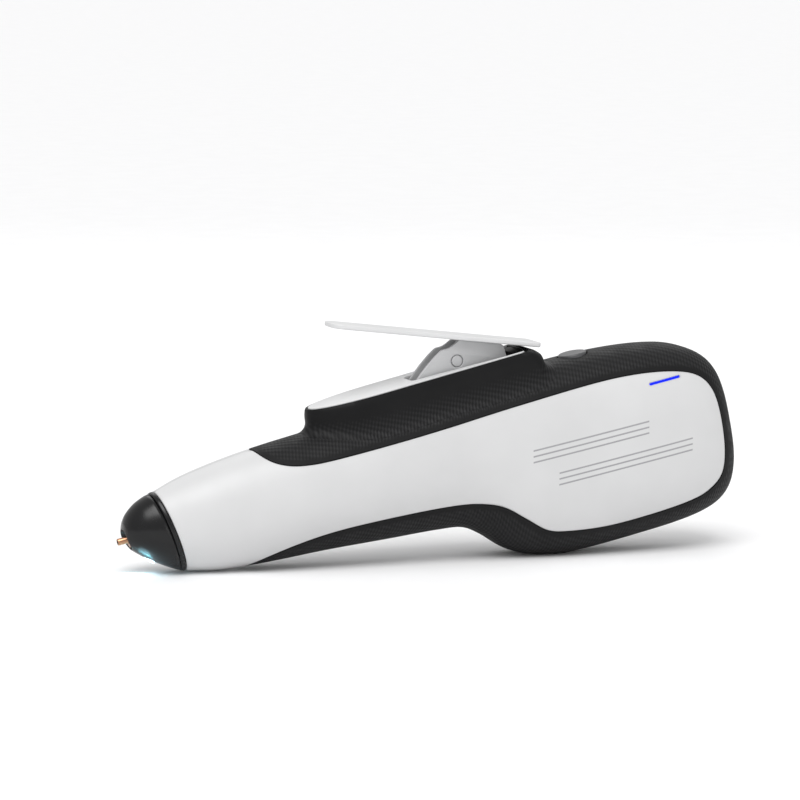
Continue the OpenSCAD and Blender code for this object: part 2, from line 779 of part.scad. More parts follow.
module led_leads() {
    color([0.88, 0.88, 0.86]) axis_frame() lead_pair([
        [137.5, -7.6, 13.6], [130, -7.9, 13.4], [117, -7.9, 12.8], [108, -7.8, 9.6], [66, -7.6, 9.0],
        [56, -8.4, 7.0], [51, -9.6, 1.0], [47, -7.6, -6.0], [43, -2.6, -7.4], [38, -1.4, -7.3],
        [34.5, -1.0, -8.3], [30, -0.9, -8.6],
        [20, -0.8, -8.9], [16, -0.7, -8.7], [13.8, -0.6, -7.4], [12.5, -0.5, -6.1], [11.5, -0.4, -5.2]
    ], 0.9, 0.36);
}

module battery_leads() {
    color([0.10, 0.10, 0.11]) axis_frame() lead_pair([
        [115.3, 3.2, -10.9], [115.4, 8.6, -11], [116.5, 11.3, -8], [124, 11.3, 1], [131, 10.6, 6.6],
        [135.6, 8.2, 8.7], [138.6, 5.0, 9.7]
    ], 1.2, 0.5);
}

module housing_screws() {
    color([0.35, 0.35, 0.37]) axis_frame() screw_seats() difference() {
        union() {
            translate([0, 0.2, 0]) rotate([90, 0, 0]) cylinder(h = 13, r = 0.92);
            translate([0, 1.62, 0]) rotate([90, 0, 0]) cylinder(h = 1.6, r = 1.9);
        }
        translate([-1.3, 1.02, -0.25]) cube([2.6, 1, 0.5]);
        translate([-0.25, 1.02, -1.3]) cube([0.5, 1, 2.6]);
    }
}

housing_left();
housing_right();
grip_band();
turret();
deck();
nose_cone();
nose_ring();
nozzle();
led_window();
work_led();
melt_chamber();
ptc_heater();
heater_clip();
insulation_sleeve();
inlet_sleeve();
sleeve_clamp();
thermal_sensor();
chassis();
guide_tube();
inlet_bush();
feed_carriage();
grip_jaw();
jaw_pin();
return_spring();
lever_paddle();
lever_yoke();
link_pin();
hinge_pin();
drive_link();
foot_pin();
lever_spring();
power_button();
tact_plunger();
tact_switch();
main_pcb();
pcb_parts();
status_led();
light_pipe();
charge_pcb();
charge_port();
battery_cell();
battery_tabs();
battery_pad();
heater_leads();
led_leads();
battery_leads();
housing_screws();
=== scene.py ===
"""Looks of the cordless hot-glue pen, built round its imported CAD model."""

import json
import math

import bmesh
import bpy
import numpy as np
from mathutils import Matrix, Vector, kdtree
from mathutils.geometry import delaunay_2d_cdt

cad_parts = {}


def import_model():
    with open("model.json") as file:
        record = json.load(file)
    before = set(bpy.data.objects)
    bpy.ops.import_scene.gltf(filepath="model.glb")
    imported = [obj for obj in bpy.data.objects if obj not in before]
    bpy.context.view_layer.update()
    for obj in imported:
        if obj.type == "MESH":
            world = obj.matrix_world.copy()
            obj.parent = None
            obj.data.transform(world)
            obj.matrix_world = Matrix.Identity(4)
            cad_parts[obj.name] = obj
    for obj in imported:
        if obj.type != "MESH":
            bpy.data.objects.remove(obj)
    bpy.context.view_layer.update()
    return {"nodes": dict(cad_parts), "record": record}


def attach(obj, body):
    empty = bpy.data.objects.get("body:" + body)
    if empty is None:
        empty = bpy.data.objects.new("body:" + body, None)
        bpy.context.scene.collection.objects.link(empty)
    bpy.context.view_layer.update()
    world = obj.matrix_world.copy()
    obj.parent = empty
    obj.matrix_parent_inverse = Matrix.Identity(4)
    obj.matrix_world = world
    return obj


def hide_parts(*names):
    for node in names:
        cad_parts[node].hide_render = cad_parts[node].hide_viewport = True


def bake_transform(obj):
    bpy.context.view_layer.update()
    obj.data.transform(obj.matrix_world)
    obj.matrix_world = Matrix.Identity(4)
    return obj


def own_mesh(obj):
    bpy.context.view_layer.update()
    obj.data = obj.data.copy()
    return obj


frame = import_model()
record = frame["record"]
inlet = next(m for m in record["mounts"] if m["name"] == "glue_inlet")
SLOTS = {s["node"]: s["material_slot"] for s in record["subparts"]}

# ---------------------------------------------------------------- frame
# The glue axis runs through the inlet mount, 150 mm behind the axis frame's own origin.
ALONG = np.array(inlet["axis"], float)
ALONG /= np.linalg.norm(ALONG)
ACROSS = np.array([0.0, 1.0, 0.0])
UP = np.array([-ALONG[2], 0.0, ALONG[0]])
ORIGIN = np.array(inlet["pos_m"], float) - 0.150 * ALONG
AXIS_FRAME = Matrix(
    [[*(0.001 * np.array([ALONG[i], ACROSS[i], UP[i]])), ORIGIN[i]] for i in range(3)]
    + [[0, 0, 0, 1]]
)


def world(points):
    """Points of the axis frame, in millimetres, as metres of the table frame, never under the table."""
    p = np.asarray(points, float)
    out = ORIGIN + 0.001 * (p[..., 0:1] * ALONG + p[..., 1:2] * ACROSS + p[..., 2:3] * UP)
    out[..., 2] = np.maximum(out[..., 2], 0.0)
    return out


def turn_y(degrees):
    return Matrix.Rotation(math.radians(degrees), 4, "Y")


def shift(x, y, z):
    return Matrix.Translation((x, y, z))


# Hinge of the lever and tip of the deck in the axis frame, as in the CAD model.
HINGE = (131.0, 0.0, 21.6)
LEVER_REST = 18.3
LEVER_FRAME = shift(*HINGE) @ turn_y(LEVER_REST)
DECK_TIP = (63.6, 0.0, 24.1)
DECK_TILT = 1.9
DECK_FRAME = shift(*DECK_TIP) @ turn_y(-DECK_TILT)
DECK_TAIL = 129.6 - DECK_TIP[0]
DECK_HALF = 8.1
DECK_REACH = 22.0
DECK_T = 1.6
DECK_CORNER = 2.6
# Wall of the body, slit round the panel, and the button's middle and radius.
WALL = 2.0
PANEL_GAP = 0.1
BUTTON_U = 146.1
BUTTON_UP = 19.7
BUTTON_R = 4.2
UPRIGHT = Matrix.Rotation(math.radians(90), 4, "X")

# Stations of the body: along, top, bottom, half width, exponent, lean.
BODY = [
    [15.7, 11.5, -12.7, 9.6, 2.05, 0.17],
    [24, 13.8, -14.65, 11.6, 2.1, 0.12],
    [34, 15.4, -15.8, 12.9, 2.15, 0.07],
    [46, 16.6, -16.6, 13.7, 2.2, 0.02],
    [60, 17.3, -17.3, 14.1, 2.25, 0],
    [78, 18.0, -18.7, 14.5, 2.3, 0],
    [94, 18.6, -19.9, 14.9, 2.35, 0],
    [102, 18.9, -21.2, 15.2, 2.4, 0],
    [108, 19.2, -25.2, 15.4, 2.45, 0],
    [114, 19.5, -30.7, 15.7, 2.5, 0],
    [121, 19.8, -34.2, 16.0, 2.5, 0],
    [130, 20.1, -36.3, 16.4, 2.55, 0],
    [142, 20.3, -36.7, 16.7, 2.6, 0],
    [155, 19.9, -36.5, 16.8, 2.6, 0],
    [166, 18.8, -36.1, 16.7, 2.6, 0],
    [175, 16.9, -35.1, 16.3, 2.6, 0],
    [181, 14.2, -33.3, 15.2, 2.6, 0],
    [185, 11.2, -30.3, 13.2, 2.6, 0],
    [187.4, 7.8, -26.0, 10.6, 2.6, 0],
    [188.3, 4.4, -22.5, 8.2, 2.6, 0],
]

# Stations of the nose cone.
CONE = [
    [2.4, 2.9, -1.6, 2.6, 2, 0],
    [3.3, 5.2, -2.6, 4.2, 2, 0.02],
    [5.2, 7.4, -4.6, 6.0, 2, 0.05],
    [8.4, 9.4, -7.7, 7.7, 2, 0.1],
    [11.6, 10.6, -10.3, 8.8, 2, 0.14],
    [14.3, 11.3, -12.3, 9.4, 2.05, 0.17],
]

# Side outline of the white panel: along, up.
PANEL = [
    (43, 18.5), (46, 14.5), (50, 12), (56, 10.5), (66, 10), (90, 10.5), (120, 12), (145, 13),
    (160, 12.5), (172, 10.5), (179, 7.5), (182.5, 2.5), (183.5, -5), (183, -15), (181, -22.5),
    (176.5, -26.5), (170, -28.5), (157, -29.5), (143, -29.5), (131, -28), (124, -26), (118, -21),
    (112, -16), (106, -13.5), (98, -12), (84, -11), (66, -10.5), (55, -11), (45, -12.5), (36, -15),
    (31, -17.5),
]

# Screws of the far side: along, up, depth of the seat. The heads lie in counterbores.
SCREWS = [(38, -11.2, 5.6), (38, 11.2, 5.6), (121, 8.6, 8.4), (111.5, -12.9, 8.4), (156, 7.9, 8.4)]

TOP = math.pi / 2
BOTTOM = 3 * math.pi / 2


# ---------------------------------------------------------------- curves
def columns(*values):
    return np.stack(values, axis=1)


def power(v, p):
    """Power that keeps the sign of its base."""
    return np.sign(v) * np.abs(v) ** p


def smooth(points, steps):
    """Catmull-Rom curve through points."""
    p = np.array(points, float)
    last = len(p) - 1
    t = np.linspace(0, last, last * steps + 1)
    i = np.minimum(t.astype(int), last - 1)
    f = (t - i)[:, None]
    a, b, c, d = (p[np.clip(i + k, 0, last)] for k in (-1, 0, 1, 2))
    return 0.5 * (
        2 * b + (c - a) * f + (2 * a - 5 * b + 4 * c - d) * f**2 + (3 * b - a - 3 * c + d) * f**3
    )


def spaced(points, step):
    """The same curve with points an even distance apart."""
    p = np.array(points, float)
    walk = np.concatenate([[0], np.cumsum(np.linalg.norm(np.diff(p, axis=0), axis=1))])
    count = max(2, int(math.ceil(walk[-1] / step)) + 1)
    at = np.linspace(0, walk[-1], count)
    return columns(*(np.interp(at, walk, p[:, k]) for k in range(p.shape[1])))


def sideways(points, by):
    """A flat curve moved to its left by a distance."""
    d = np.gradient(points, axis=0)
    d /= np.linalg.norm(d, axis=1)[:, None]
    return points + by * columns(-d[:, 1], d[:, 0])


class Skin:
    """Smooth surface through a row of sections; x walks along it and a turns round it."""

    def __init__(self, rows, cap=0.0):
        self.table = smooth(rows, 24)
        step = np.abs(np.diff(self.table[:, :4], axis=0))
        reach = np.hypot(step[:, 0], step[:, 1:].max(axis=1))
        self.walk = np.concatenate([[0], np.cumsum(reach)])
        self.end = self.walk[-1]
        self.cap = cap

    def row(self, x):
        return [np.interp(x, self.walk, self.table[:, k]) for k in range(6)]

    def point(self, x, a):
        s, top, bottom, half, n, lean = self.row(x)
        k = 1.0
        if self.cap:
            k = np.clip(1 - (x - self.end) / self.cap, 0, 1)
        up = (top + bottom) / 2 + k * (top - bottom) / 2 * power(np.sin(a), 2 / n)
        out = k * half * power(np.cos(a), 2 / n)
        return np.stack([s - lean * up, out, up], axis=-1)

    def slopes(self, x, a):
        dx, da = 0.05, 0.006
        along = (self.point(x + dx, a) - self.point(x - dx, a)) / (2 * dx)
        round_ = (self.point(x, a + da) - self.point(x, a - da)) / (2 * da)
        return along, round_

    def normal(self, x, a):
        x = np.clip(x, 0.06, self.end + self.cap * 0.98 - 0.06)
        along, round_ = self.slopes(x, a)
        n = np.cross(round_, along)
        return n / np.maximum(np.linalg.norm(n, axis=-1, keepdims=True), 1e-12)

    def x_at(self, u, w):
        """x of the section through a point of the side view."""
        s = np.array(u, float)
        for _ in range(6):
            x = np.interp(s, self.table[:, 0], self.walk)
            s = u + self.row(x)[5] * w
        return x

    def from_side(self, uw):
        """(x, a) on the left side of points of the side view."""
        u, w = np.array(uw, float).T
        x = self.x_at(u, w)
        _, top, bottom, _, n, _ = self.row(x)
        v = np.clip((w - (top + bottom) / 2) / ((top - bottom) / 2), -1, 1)
        sin = power(v, n / 2)
        return columns(x, np.arctan2(sin, -np.sqrt(1 - sin**2)) % (2 * math.pi))

    def from_top(self, uy):
        """(x, a) on the upper side of points seen from above, y at or under 0."""
        u, y = np.array(uy, float).T
        x = self.x_at(u, 0 * u)
        _, _, _, half, n, _ = self.row(x)
        cos = np.clip(power(y / half, n / 2), -1, 0)
        return columns(x, np.arccos(cos))

    def from_end(self, yw, low=0.0):
        """(x, a) of points seen along the axis, y at or under 0."""
        y, w = np.array(yw, float).T
        keep = self.walk >= low
        walk = self.walk[keep]
        _, top, bottom, half, n, _ = self.table[keep].T
        mid, high = (top + bottom) / 2, (top - bottom) / 2
        ratio = (
            np.abs(y[:, None] / half) ** n + np.abs((w[:, None] - mid) / high) ** n
        ) ** (1 / n)
        x = np.empty(len(y))
        for i, r in enumerate(ratio):
            if self.cap and r[-1] <= 1:
                x[i] = self.end + self.cap * (1 - r[-1])
            elif self.cap:
                x[i] = np.interp(1.0, r, walk)
            else:
                x[i] = np.interp(-1.0, -r, walk)
        _, top, bottom, half, n, _ = self.row(x)
        sin = power((w - (top + bottom) / 2) / ((top - bottom) / 2), n / 2)
        cos = power(y / half, n / 2)
        return columns(x, np.arctan2(sin, np.minimum(cos, -1e-9)) % (2 * math.pi))


body = Skin(BODY, cap=8.0)
cone = Skin(CONE)


# ---------------------------------------------------------------- shell pieces
def inside(points, loop):
    """Even-odd test of points against a closed loop."""
    x, y = points[:, 0][:, None], points[:, 1][:, None]
    a, b = loop, np.roll(loop, -1, axis=0)
    crosses = (a[:, 1] > y) != (b[:, 1] > y)
    rise = np.where(np.abs(b[:, 1] - a[:, 1]) < 1e-12, 1e-12, b[:, 1] - a[:, 1])
    at = a[:, 0] + (y - a[:, 1]) * (b[:, 0] - a[:, 0]) / rise
    return (crosses & (x < at)).sum(axis=1) % 2 == 1


# Millimetres of the flat map for each radian round a skin.
ROUND_MM = 12.0
FLAT = np.array([1, ROUND_MM])
# Rows of points beside a rim, as shares of its rounding, and the pitch of the samples along it.
RIM_ROWS = (0.12, 0.3, 0.55, 0.8, 1.05, 1.6, 2.6)
RIM_SAMPLE = 0.06
# Room between the grid and those rows or the seam, and the rim distance that the inner sheet is given.
GRID_CLEAR = 0.35
FAR_FROM_RIM = 9.0


class Loop:
    """Closed boundary on a skin, as (x, a) points; real[i]: the edge leaving point i is a true rim."""

    def __init__(self, parts, floor=None):
        self.q = np.concatenate([p for p, _ in parts])
        self.real = np.concatenate([np.full(len(p), r) for p, r in parts])
        keep = np.linalg.norm(self.q - np.roll(self.q, 1, axis=0), axis=1) > 1e-5
        self.q, self.real = self.q[keep], self.real[keep]
        self.floor = floor


def chain(*parts):
    """Loop made of runs, each of which ends where the next one begins."""
    return Loop([(run[:-1], real) for run, real in parts])


def rim_loop(run, floor=None):
    """Loop that is a true rim all the way round."""
    return Loop([(run, True)], floor)


def seam(start, end, angle, step=1.2):
    count = max(2, int(abs(end - start) / step) + 2)
    return columns(np.linspace(start, end, count), np.full(count, angle))


class Rims:
    """Boundary points of a piece, loop after loop, with their places and directions on its skin."""

    def __init__(self, skin, loops):
        self.q = np.concatenate([loop.q for loop in loops])
        self.real = np.concatenate([loop.real for loop in loops])
        self.flats = [loop.q * FLAT for loop in loops]
        ends = np.cumsum([0] + [len(loop.q) for loop in loops]).tolist()
        self.spans = list(zip(ends[:-1], ends[1:]))
        self.after = [j for begin, end in self.spans for j in [*range(begin + 1, end), begin]]
        p = np.concatenate([skin.point(*loop.q.T) for loop in loops])
        run = p[self.after] - p[np.argsort(self.after)]
        run /= np.maximum(np.linalg.norm(run, axis=1, keepdims=True), 1e-9)
        along, round_ = skin.slopes(np.clip(self.q[:, 0], 0.06, None), self.q[:, 1])
        beside = np.cross(skin.normal(*self.q.T), run)
        jac = np.stack([along, round_], axis=2)
        self.move = np.array([np.linalg.lstsq(j, b, rcond=None)[0] for j, b in zip(jac, beside)])
        self.inwards = np.where(self.within(self.q + 0.08 * self.move)[:, None], beside, -beside)
        self.on_rim = np.zeros(len(p), bool)
        samples = []
        for i, j in enumerate(self.after):
            if self.real[i]:
                self.on_rim[[i, j]] = True
                parts = max(2, int(np.linalg.norm(p[j] - p[i]) / RIM_SAMPLE))
                samples += [p[i] + (p[j] - p[i]) * k / parts for k in range(parts + 1)]
        self.tree = kdtree.KDTree(len(samples))
        for i, sample in enumerate(samples):
            self.tree.insert(sample, i)
        self.tree.balance()

    def within(self, points):
        """Which (x, a) points lie inside the outer loop and in none of the holes."""
        flat = points * FLAT
        held = inside(flat, self.flats[0])
        for hole in self.flats[1:]:
            held &= ~inside(flat, hole)
        return held

    def clear(self, points):
        """Distance to the nearest true rim, and the direction to it."""
        away = np.zeros(len(points))
        way = np.zeros((len(points), 3))
        for i, point in enumerate(points):
            found, _, away[i] = self.tree.find(point)
            if away[i] > 1e-9:
                way[i] = (np.array(found) - point) / away[i]
        return away, way


def points_by_rims(skin, rims, distances):
    """Rows of points beside the true rims, at set distances from them."""
    q, move = rims.q[rims.real], rims.move[rims.real]
    found = np.concatenate([q + side * d * move for d in distances for side in (-1, 1)])
    goal = np.repeat(distances, 2 * len(q))
    held = rims.within(found)
    found, goal = found[held], goal[held]
    away, _ = rims.clear(skin.point(*found.T))
    return found[np.abs(away - goal) < 0.12 * goal + 0.02]


def points_between(skin, rims, step, clearance):
    """Staggered grid over the piece, clear of its rims and of the seam."""
    low, high = rims.flats[0].min(axis=0), rims.flats[0].max(axis=0)
    gx, gy = np.meshgrid(*(np.arange(low[k] + step[k] / 2, high[k], step[k]) for k in (0, 1)))
    gx = gx + (np.arange(len(gx)) % 2)[:, None] * step[0] / 2
    grid = columns(gx.ravel(), gy.ravel()) / FLAT
    grid = grid[rims.within(grid)]
    away, _ = rims.clear(skin.point(*grid.T))
    grid = grid[away > clearance]
    to_seam = np.abs(grid[:, 1:2] - [TOP, BOTTOM]).min(axis=1) * ROUND_MM
    return grid[to_seam > GRID_CLEAR]


def triangulated(params, rims):
    """Triangles over (x, a) points: the points, the triangles, and where each point given went."""
    edges = list(enumerate(rims.after))
    spots, _, faces, origins = delaunay_2d_cdt([Vector(v) for v in params * FLAT], edges, [], 0, 1e-7)[:4]
    flat = np.array([tuple(v) for v in spots])
    tris = np.array([f for f in faces if len(f) == 3])
    tris = tris[rims.within(flat[tris].mean(axis=1) / FLAT)]
    a, b, c = (flat[tris[:, k]] for k in range(3))
    twice = (b[:, 0] - a[:, 0]) * (c[:, 1] - a[:, 1]) - (b[:, 1] - a[:, 1]) * (c[:, 0] - a[:, 0])
    tris, twice = tris[np.abs(twice) > 1e-9], twice[np.abs(twice) > 1e-9]
    tris = np.where((twice < 0)[:, None], tris, tris[:, ::-1])
    source = [origin[0] if origin else -1 for origin in origins]
    params = np.array([params[s] if s >= 0 else flat[i] / FLAT for i, s in enumerate(source)])
    return params, tris, {s: i for i, s in enumerate(source) if s >= 0}


def rounded_sheet(skin, rims, params, order, edge):
    """Places, normals and rim distances of the outer sheet, and its places and normals unrounded."""
    base = skin.point(*params.T)
    normal = skin.normal(*params.T)
    away, way = rims.clear(base)
    for i, j in order.items():
        if i < len(rims.q) and rims.on_rim[i]:
            away[j] = 0.0
            way[j] = -rims.inwards[i]
    short = np.clip(edge - away, 0, edge)
    drop = edge - np.sqrt(edge * edge - short * short)
    tilt = (short / edge)[:, None]
    way -= (way * normal).sum(axis=1, keepdims=True) * normal
    bent = normal * np.sqrt(np.clip(1 - tilt**2, 0.02, 1)) + way * tilt
    bent /= np.linalg.norm(bent, axis=1, keepdims=True)
    return base - drop[:, None] * normal, bent, away, base, normal


def shell_half(skin, outer, holes=(), edge=0.3, wall=WALL, step=(1.5, 1.0), gap=0.0):
    """Closed shell over the left half of a skin, with rounded rims."""
    loops = [outer, *holes]
    rims = Rims(skin, loops)
    distances = [edge * k for k in RIM_ROWS]
    near = points_by_rims(skin, rims, distances)
    grid = points_between(skin, rims, step, distances[-1] + GRID_CLEAR)
    params, tris, order = triangulated(np.concatenate([rims.q, near, grid]), rims)
    outside, bent, away, base, normal = rounded_sheet(skin, rims, params, order, edge)
    sheets = [outside, base - wall * normal]
    at_seam = np.abs(params[:, 1:2] - [TOP, BOTTOM]).min(axis=1) < 1e-6
    for sheet in sheets:
        if gap:
            sheet[:, 1] = np.minimum(sheet[:, 1], -gap)
        else:
            sheet[at_seam, 1] = 0
    count = len(params)
    flat = params * FLAT
    points = [*sheets[0], *sheets[1]]
    normals = [*bent, *(-normal)]
    marks = [*np.column_stack([flat, away]), *np.column_stack([flat, np.full(count, FAR_FROM_RIM)])]
    faces = [(tuple(f), True) for f in tris] + [(tuple(f[::-1] + count), True) for f in tris]

    # A hole with a floor gets rings of points down to it.
    levels = {}
    for loop, (begin, end) in zip(loops, rims.spans):
        if not loop.floor:
            continue
        centre, rings = loop.floor
        for rim in (order[i] for i in range(begin, end)):
            way = np.array([outside[rim][0] - centre[0], 0, outside[rim][2] - centre[1]])
            way /= np.linalg.norm(way)
            levels[rim] = list(range(len(points), len(points) + len(rings)))
            points += [np.array([centre[0], level, centre[1]]) + r * way for r, level in rings]
            normals += [way] * len(rings)
            marks += [np.array([*flat[rim], 0.0])] * len(rings)

    # Walls from the outer rim to the inner sheet.
    directed = {(int(f[k]), int(f[k - 2])) for f in tris for k in range(3)}
    for i, j in enumerate(rims.after):
        a, b = order.get(i), order.get(j)
        if (a, b) not in directed:
            a, b = b, a
        if rims.real[i] and (a, b) in directed:
            left, right = ([v, *levels.get(v, []), v + count] for v in (a, b))
            for s in range(len(left) - 1):
                faces.append(((right[s], left[s], left[s + 1], right[s + 1]), False))
    return {
        "points": np.array(points), "normals": np.array(normals), "marks": np.array(marks), "faces": faces,
    }


def mirrored(part):
    """The same half on the other side."""
    flip = np.array([1, -1, 1])
    faces = [(face[::-1], soft) for face, soft in part["faces"]]
    return {**part, "points": part["points"] * flip, "normals": part["normals"] * flip, "faces": faces}


def shell_mesh(halves):
    """One mesh from shell halves, welded along their seam, with the skin's own normals."""
    points, normals, marks = (np.concatenate([h[k] for h in halves]) for k in ("points", "normals", "marks"))
    starts = np.cumsum([0] + [len(half["points"]) for half in halves])
    index = np.arange(len(points))
    if len(halves) > 1:
        first = {}
        at_seam = np.where(np.abs(points[:, 1]) < 1e-9)[0]
        for i in at_seam:
            index[i] = first.setdefault((round(points[i, 0], 4), round(points[i, 2], 4)), i)
        normals[at_seam, 1] = 0
    faces = [
        (tuple(int(index[v + start]) for v in face), soft)
        for half, start in zip(halves, starts)
        for face, soft in half["faces"]
    ]
    faces = [(face, soft) for face, soft in faces if len(set(face)) == len(face)]
    used = sorted({v for face, _ in faces for v in face})
    renumber = {v: i for i, v in enumerate(used)}
    turned = normals[used] @ np.array([ALONG, ACROSS, UP])
    turned /= np.maximum(np.linalg.norm(turned, axis=1, keepdims=True), 1e-9)
    data = bpy.data.meshes.new("shell")
    corners = [tuple(renumber[v] for v in face) for face, _ in faces]
    data.from_pydata([tuple(v) for v in world(points[used])], [], corners)
    along, around, edge = marks[used].T
    add_values(data, along_mm=along, around_mm=around, edge_mm=edge)
    data.validate(verbose=False)
    data.update()
    data.shade_smooth()
    if len(data.polygons) == len(faces):
        data.normals_split_custom_set([
            tuple(turned[v]) if soft else tuple(polygon.normal)
            for polygon, (_, soft) in zip(data.polygons, faces)
            for v in polygon.vertices
        ])
    return data


# ---------------------------------------------------------------- simple solids
def add_values(data, **named):
    """Named numbers on the points of a mesh, for its material to read."""
    for key, values in named.items():
        store = data.attributes.new(key, "FLOAT", "POINT").data
        store.foreach_set("value", np.asarray(values, np.float32))


def place_object(name, data, location=(0, 0, 0), rotation=None):
    obj = bpy.data.objects.new(name, data)
    obj.location = location
    if rotation is not None:
        obj.rotation_mode = "QUATERNION"
        obj.rotation_quaternion = rotation
    bpy.context.scene.collection.objects.link(obj)
    return obj


def piece(node, data, place=None, body_name="housing", material=None):
    """Piece that takes the place of a CAD node and of its material slot."""
    if place is not None:
        data.transform(place)
    data.name = node
    data.materials.append(material or paint(node))
    obj = place_object(node, data)
    if body_name:
        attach(obj, body_name)
    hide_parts(node)
    return obj


def settle_shading(data, degrees=38):
    data.shade_smooth()
    data.set_sharp_from_angle(angle=math.radians(degrees))


def finished_mesh(shape, degrees=38):
    data = bpy.data.meshes.new("mesh")
    shape.to_mesh(data)
    shape.free()
    settle_shading(data, degrees)
    return data


def plate_mesh(outline, thick, bevel, resolution=3, holes=()):
    """Flat plate with rounded edges and holes, from z = 0 up to its thickness."""
    curve = bpy.data.curves.new("plate", "CURVE")
    curve.dimensions = "2D"
    curve.fill_mode = "BOTH"
    curve.extrude = thick / 2 - bevel
    curve.bevel_depth = bevel
    curve.bevel_resolution = resolution
    curve.offset = -bevel
    for loop in (outline, *holes):
        spline = curve.splines.new("POLY")
        spline.points.add(len(loop) - 1)
        for point, (x, y) in zip(spline.points, loop):
            point.co = (x, y, 0, 1)
        spline.use_cyclic_u = True
    carrier = place_object("plate", curve)
    bpy.context.view_layer.update()
    graph = bpy.context.evaluated_depsgraph_get()
    data = bpy.data.meshes.new_from_object(carrier.evaluated_get(graph))
    bpy.data.objects.remove(carrier)
    shape = bmesh.new()
    shape.from_mesh(data)
    bmesh.ops.remove_doubles(shape, verts=shape.verts, dist=1e-4)
    bmesh.ops.recalc_face_normals(shape, faces=shape.faces)
    shape.to_mesh(data)
    shape.free()
    data.transform(shift(0, 0, thick / 2))
    settle_shading(data)
    return data


LATHE_SIDES = 96
WIRE_SIDES = 12
WIRE_END_SHARE = 0.7


def lathe_mesh(profile, closed=False):
    """Solid turned round z from (radius, height) points."""
    turns = [2 * math.pi * k / LATHE_SIDES for k in range(LATHE_SIDES)]
    rings = [
        [(r * math.cos(a), r * math.sin(a), z) for a in turns] if r else [(0, 0, z)] for r, z in profile
    ]
    return ring_stack_mesh(rings, closed, 38, False)


def ring_stack_mesh(rings, closed=False, degrees=40, capped=True):
    """Skin through rings of points; a ring of one point is a tip, and closed joins the last to the first."""
    shape = bmesh.new()
    rows = [[shape.verts.new(tuple(p)) for p in ring] for ring in rings]
    pairs = list(zip(rows[:-1], rows[1:])) + ([(rows[-1], rows[0])] if closed else [])
    for low, high in pairs:
        count = max(len(low), len(high))
        for k in range(count):
            j = (k + 1) % count
            corners = [low[k % len(low)], low[j % len(low)], high[j % len(high)], high[k % len(high)]]
            shape.faces.new(dict.fromkeys(corners))
    if capped and not closed:
        shape.faces.new(rows[0][::-1])
        shape.faces.new(rows[-1])
    bmesh.ops.recalc_face_normals(shape, faces=shape.faces)
    return finished_mesh(shape, degrees)


def wire_mesh(path, r):
    """Round wire along points of the axis frame, with softened ends."""
    p = np.array(path, float)
    way = np.gradient(p, axis=0)
    way /= np.linalg.norm(way, axis=1)[:, None]
    side = np.cross(way[0], [0.31, 0.87, 0.38])
    rings = []
    turns = np.linspace(0, 2 * math.pi, WIRE_SIDES, endpoint=False)
    shares = np.ones(len(p))
    shares[[0, -1]] = WIRE_END_SHARE
    for spot, d, share in zip(p, way, shares):
        side = side - (side @ d) * d
        side /= np.linalg.norm(side)
        other = np.cross(d, side)
        ring = spot + share * r * (np.cos(turns)[:, None] * side + np.sin(turns)[:, None] * other)
        rings.append(world(ring))
    return ring_stack_mesh(rings)


def block_mesh(low, high, bevel):
    """Block with rounded edges."""
    shape = bmesh.new()
    bmesh.ops.create_cube(shape, size=1)
    for v in shape.verts:
        v.co = Vector([low[i] + (v.co[i] + 0.5) * (high[i] - low[i]) for i in range(3)])
    bmesh.ops.bevel(shape, geom=shape.edges[:], offset=bevel, segments=3, profile=0.5, affect="EDGES")
    return finished_mesh(shape)


def joined(meshes):
    """One mesh from several."""
    whole = bmesh.new()
    for data in meshes:
        whole.from_mesh(data)
    return finished_mesh(whole)


# ---------------------------------------------------------------- materials
class Shader:
    """Principled material with short calls for its nodes."""

    def __init__(self, name, **sockets):
        self.name = name
        self.material = bpy.data.materials.new(name)
        self.material.use_nodes = True
        self.tree = self.material.node_tree
        self.bsdf = self.tree.nodes["Principled BSDF"]
        for key, value in sockets.items():
            self.bsdf.inputs[key.replace("_", " ")].default_value = value
        self.where = self.node("ShaderNodeTexCoord").outputs["Object"]

    def node(self, kind, links=None, **settings):
        made = self.tree.nodes.new(kind)
        for key, value in settings.items():
            setattr(made, key, value)
        for key, value in (links or {}).items():
            if hasattr(value, "is_output"):
                self.tree.links.new(value, made.inputs[key])
            else:
                made.inputs[key].default_value = value
        return made

    def noise(self, size, detail=3.0, stretch=None):
        """Noise whose patches are about size metres across, from 0 to 1."""
        where = self.where
        if stretch:
            where = self.node("ShaderNodeMapping", {"Vector": where, "Scale": stretch}).outputs[0]
        made = self.node(
            "ShaderNodeTexNoise",
            {"Vector": where, "Scale": 1 / size, "Detail": detail, "Roughness": 0.5},
        )
        return made.outputs["Fac"]

    def spread(self, value, low, high, start=0.3, stop=0.7):
        made = self.node(
            "ShaderNodeMapRange",
            {"Value": value, "From Min": start, "From Max": stop, "To Min": low, "To Max": high},
        )
        return made.outputs["Result"]

    def math(self, operation, a, b=0.0, c=0.0):
        made = self.node("ShaderNodeMath", {0: a, 1: b, 2: c}, operation=operation)
        return made.outputs[0]

    def mix(self, share, a, b):
        return self.node("ShaderNodeMix", {0: share, 6: a, 7: b}, data_type="RGBA").outputs[2]

    def attribute(self, name):
        return self.node("ShaderNodeAttribute", attribute_name=name).outputs["Fac"]

    def bump(self, height, depth, under=None):
        links = {"Height": height, "Distance": depth, "Strength": 1.0}
        if under is not None:
            links["Normal"] = under
        return self.node("ShaderNodeBump", links).outputs["Normal"]

    def plug(self, socket, value):
        self.tree.links.new(value, self.bsdf.inputs[socket])

    def tint(self, share, a, b):
        self.plug("Base Color", self.mix(share, a, b))

    def uneven_gloss(self, size, detail, low, high):
        self.plug("Roughness", self.spread(self.noise(size, detail), low, high))

    def relief(self, height, depth, under=None):
        self.plug("Normal", self.bump(height, depth, under=under))


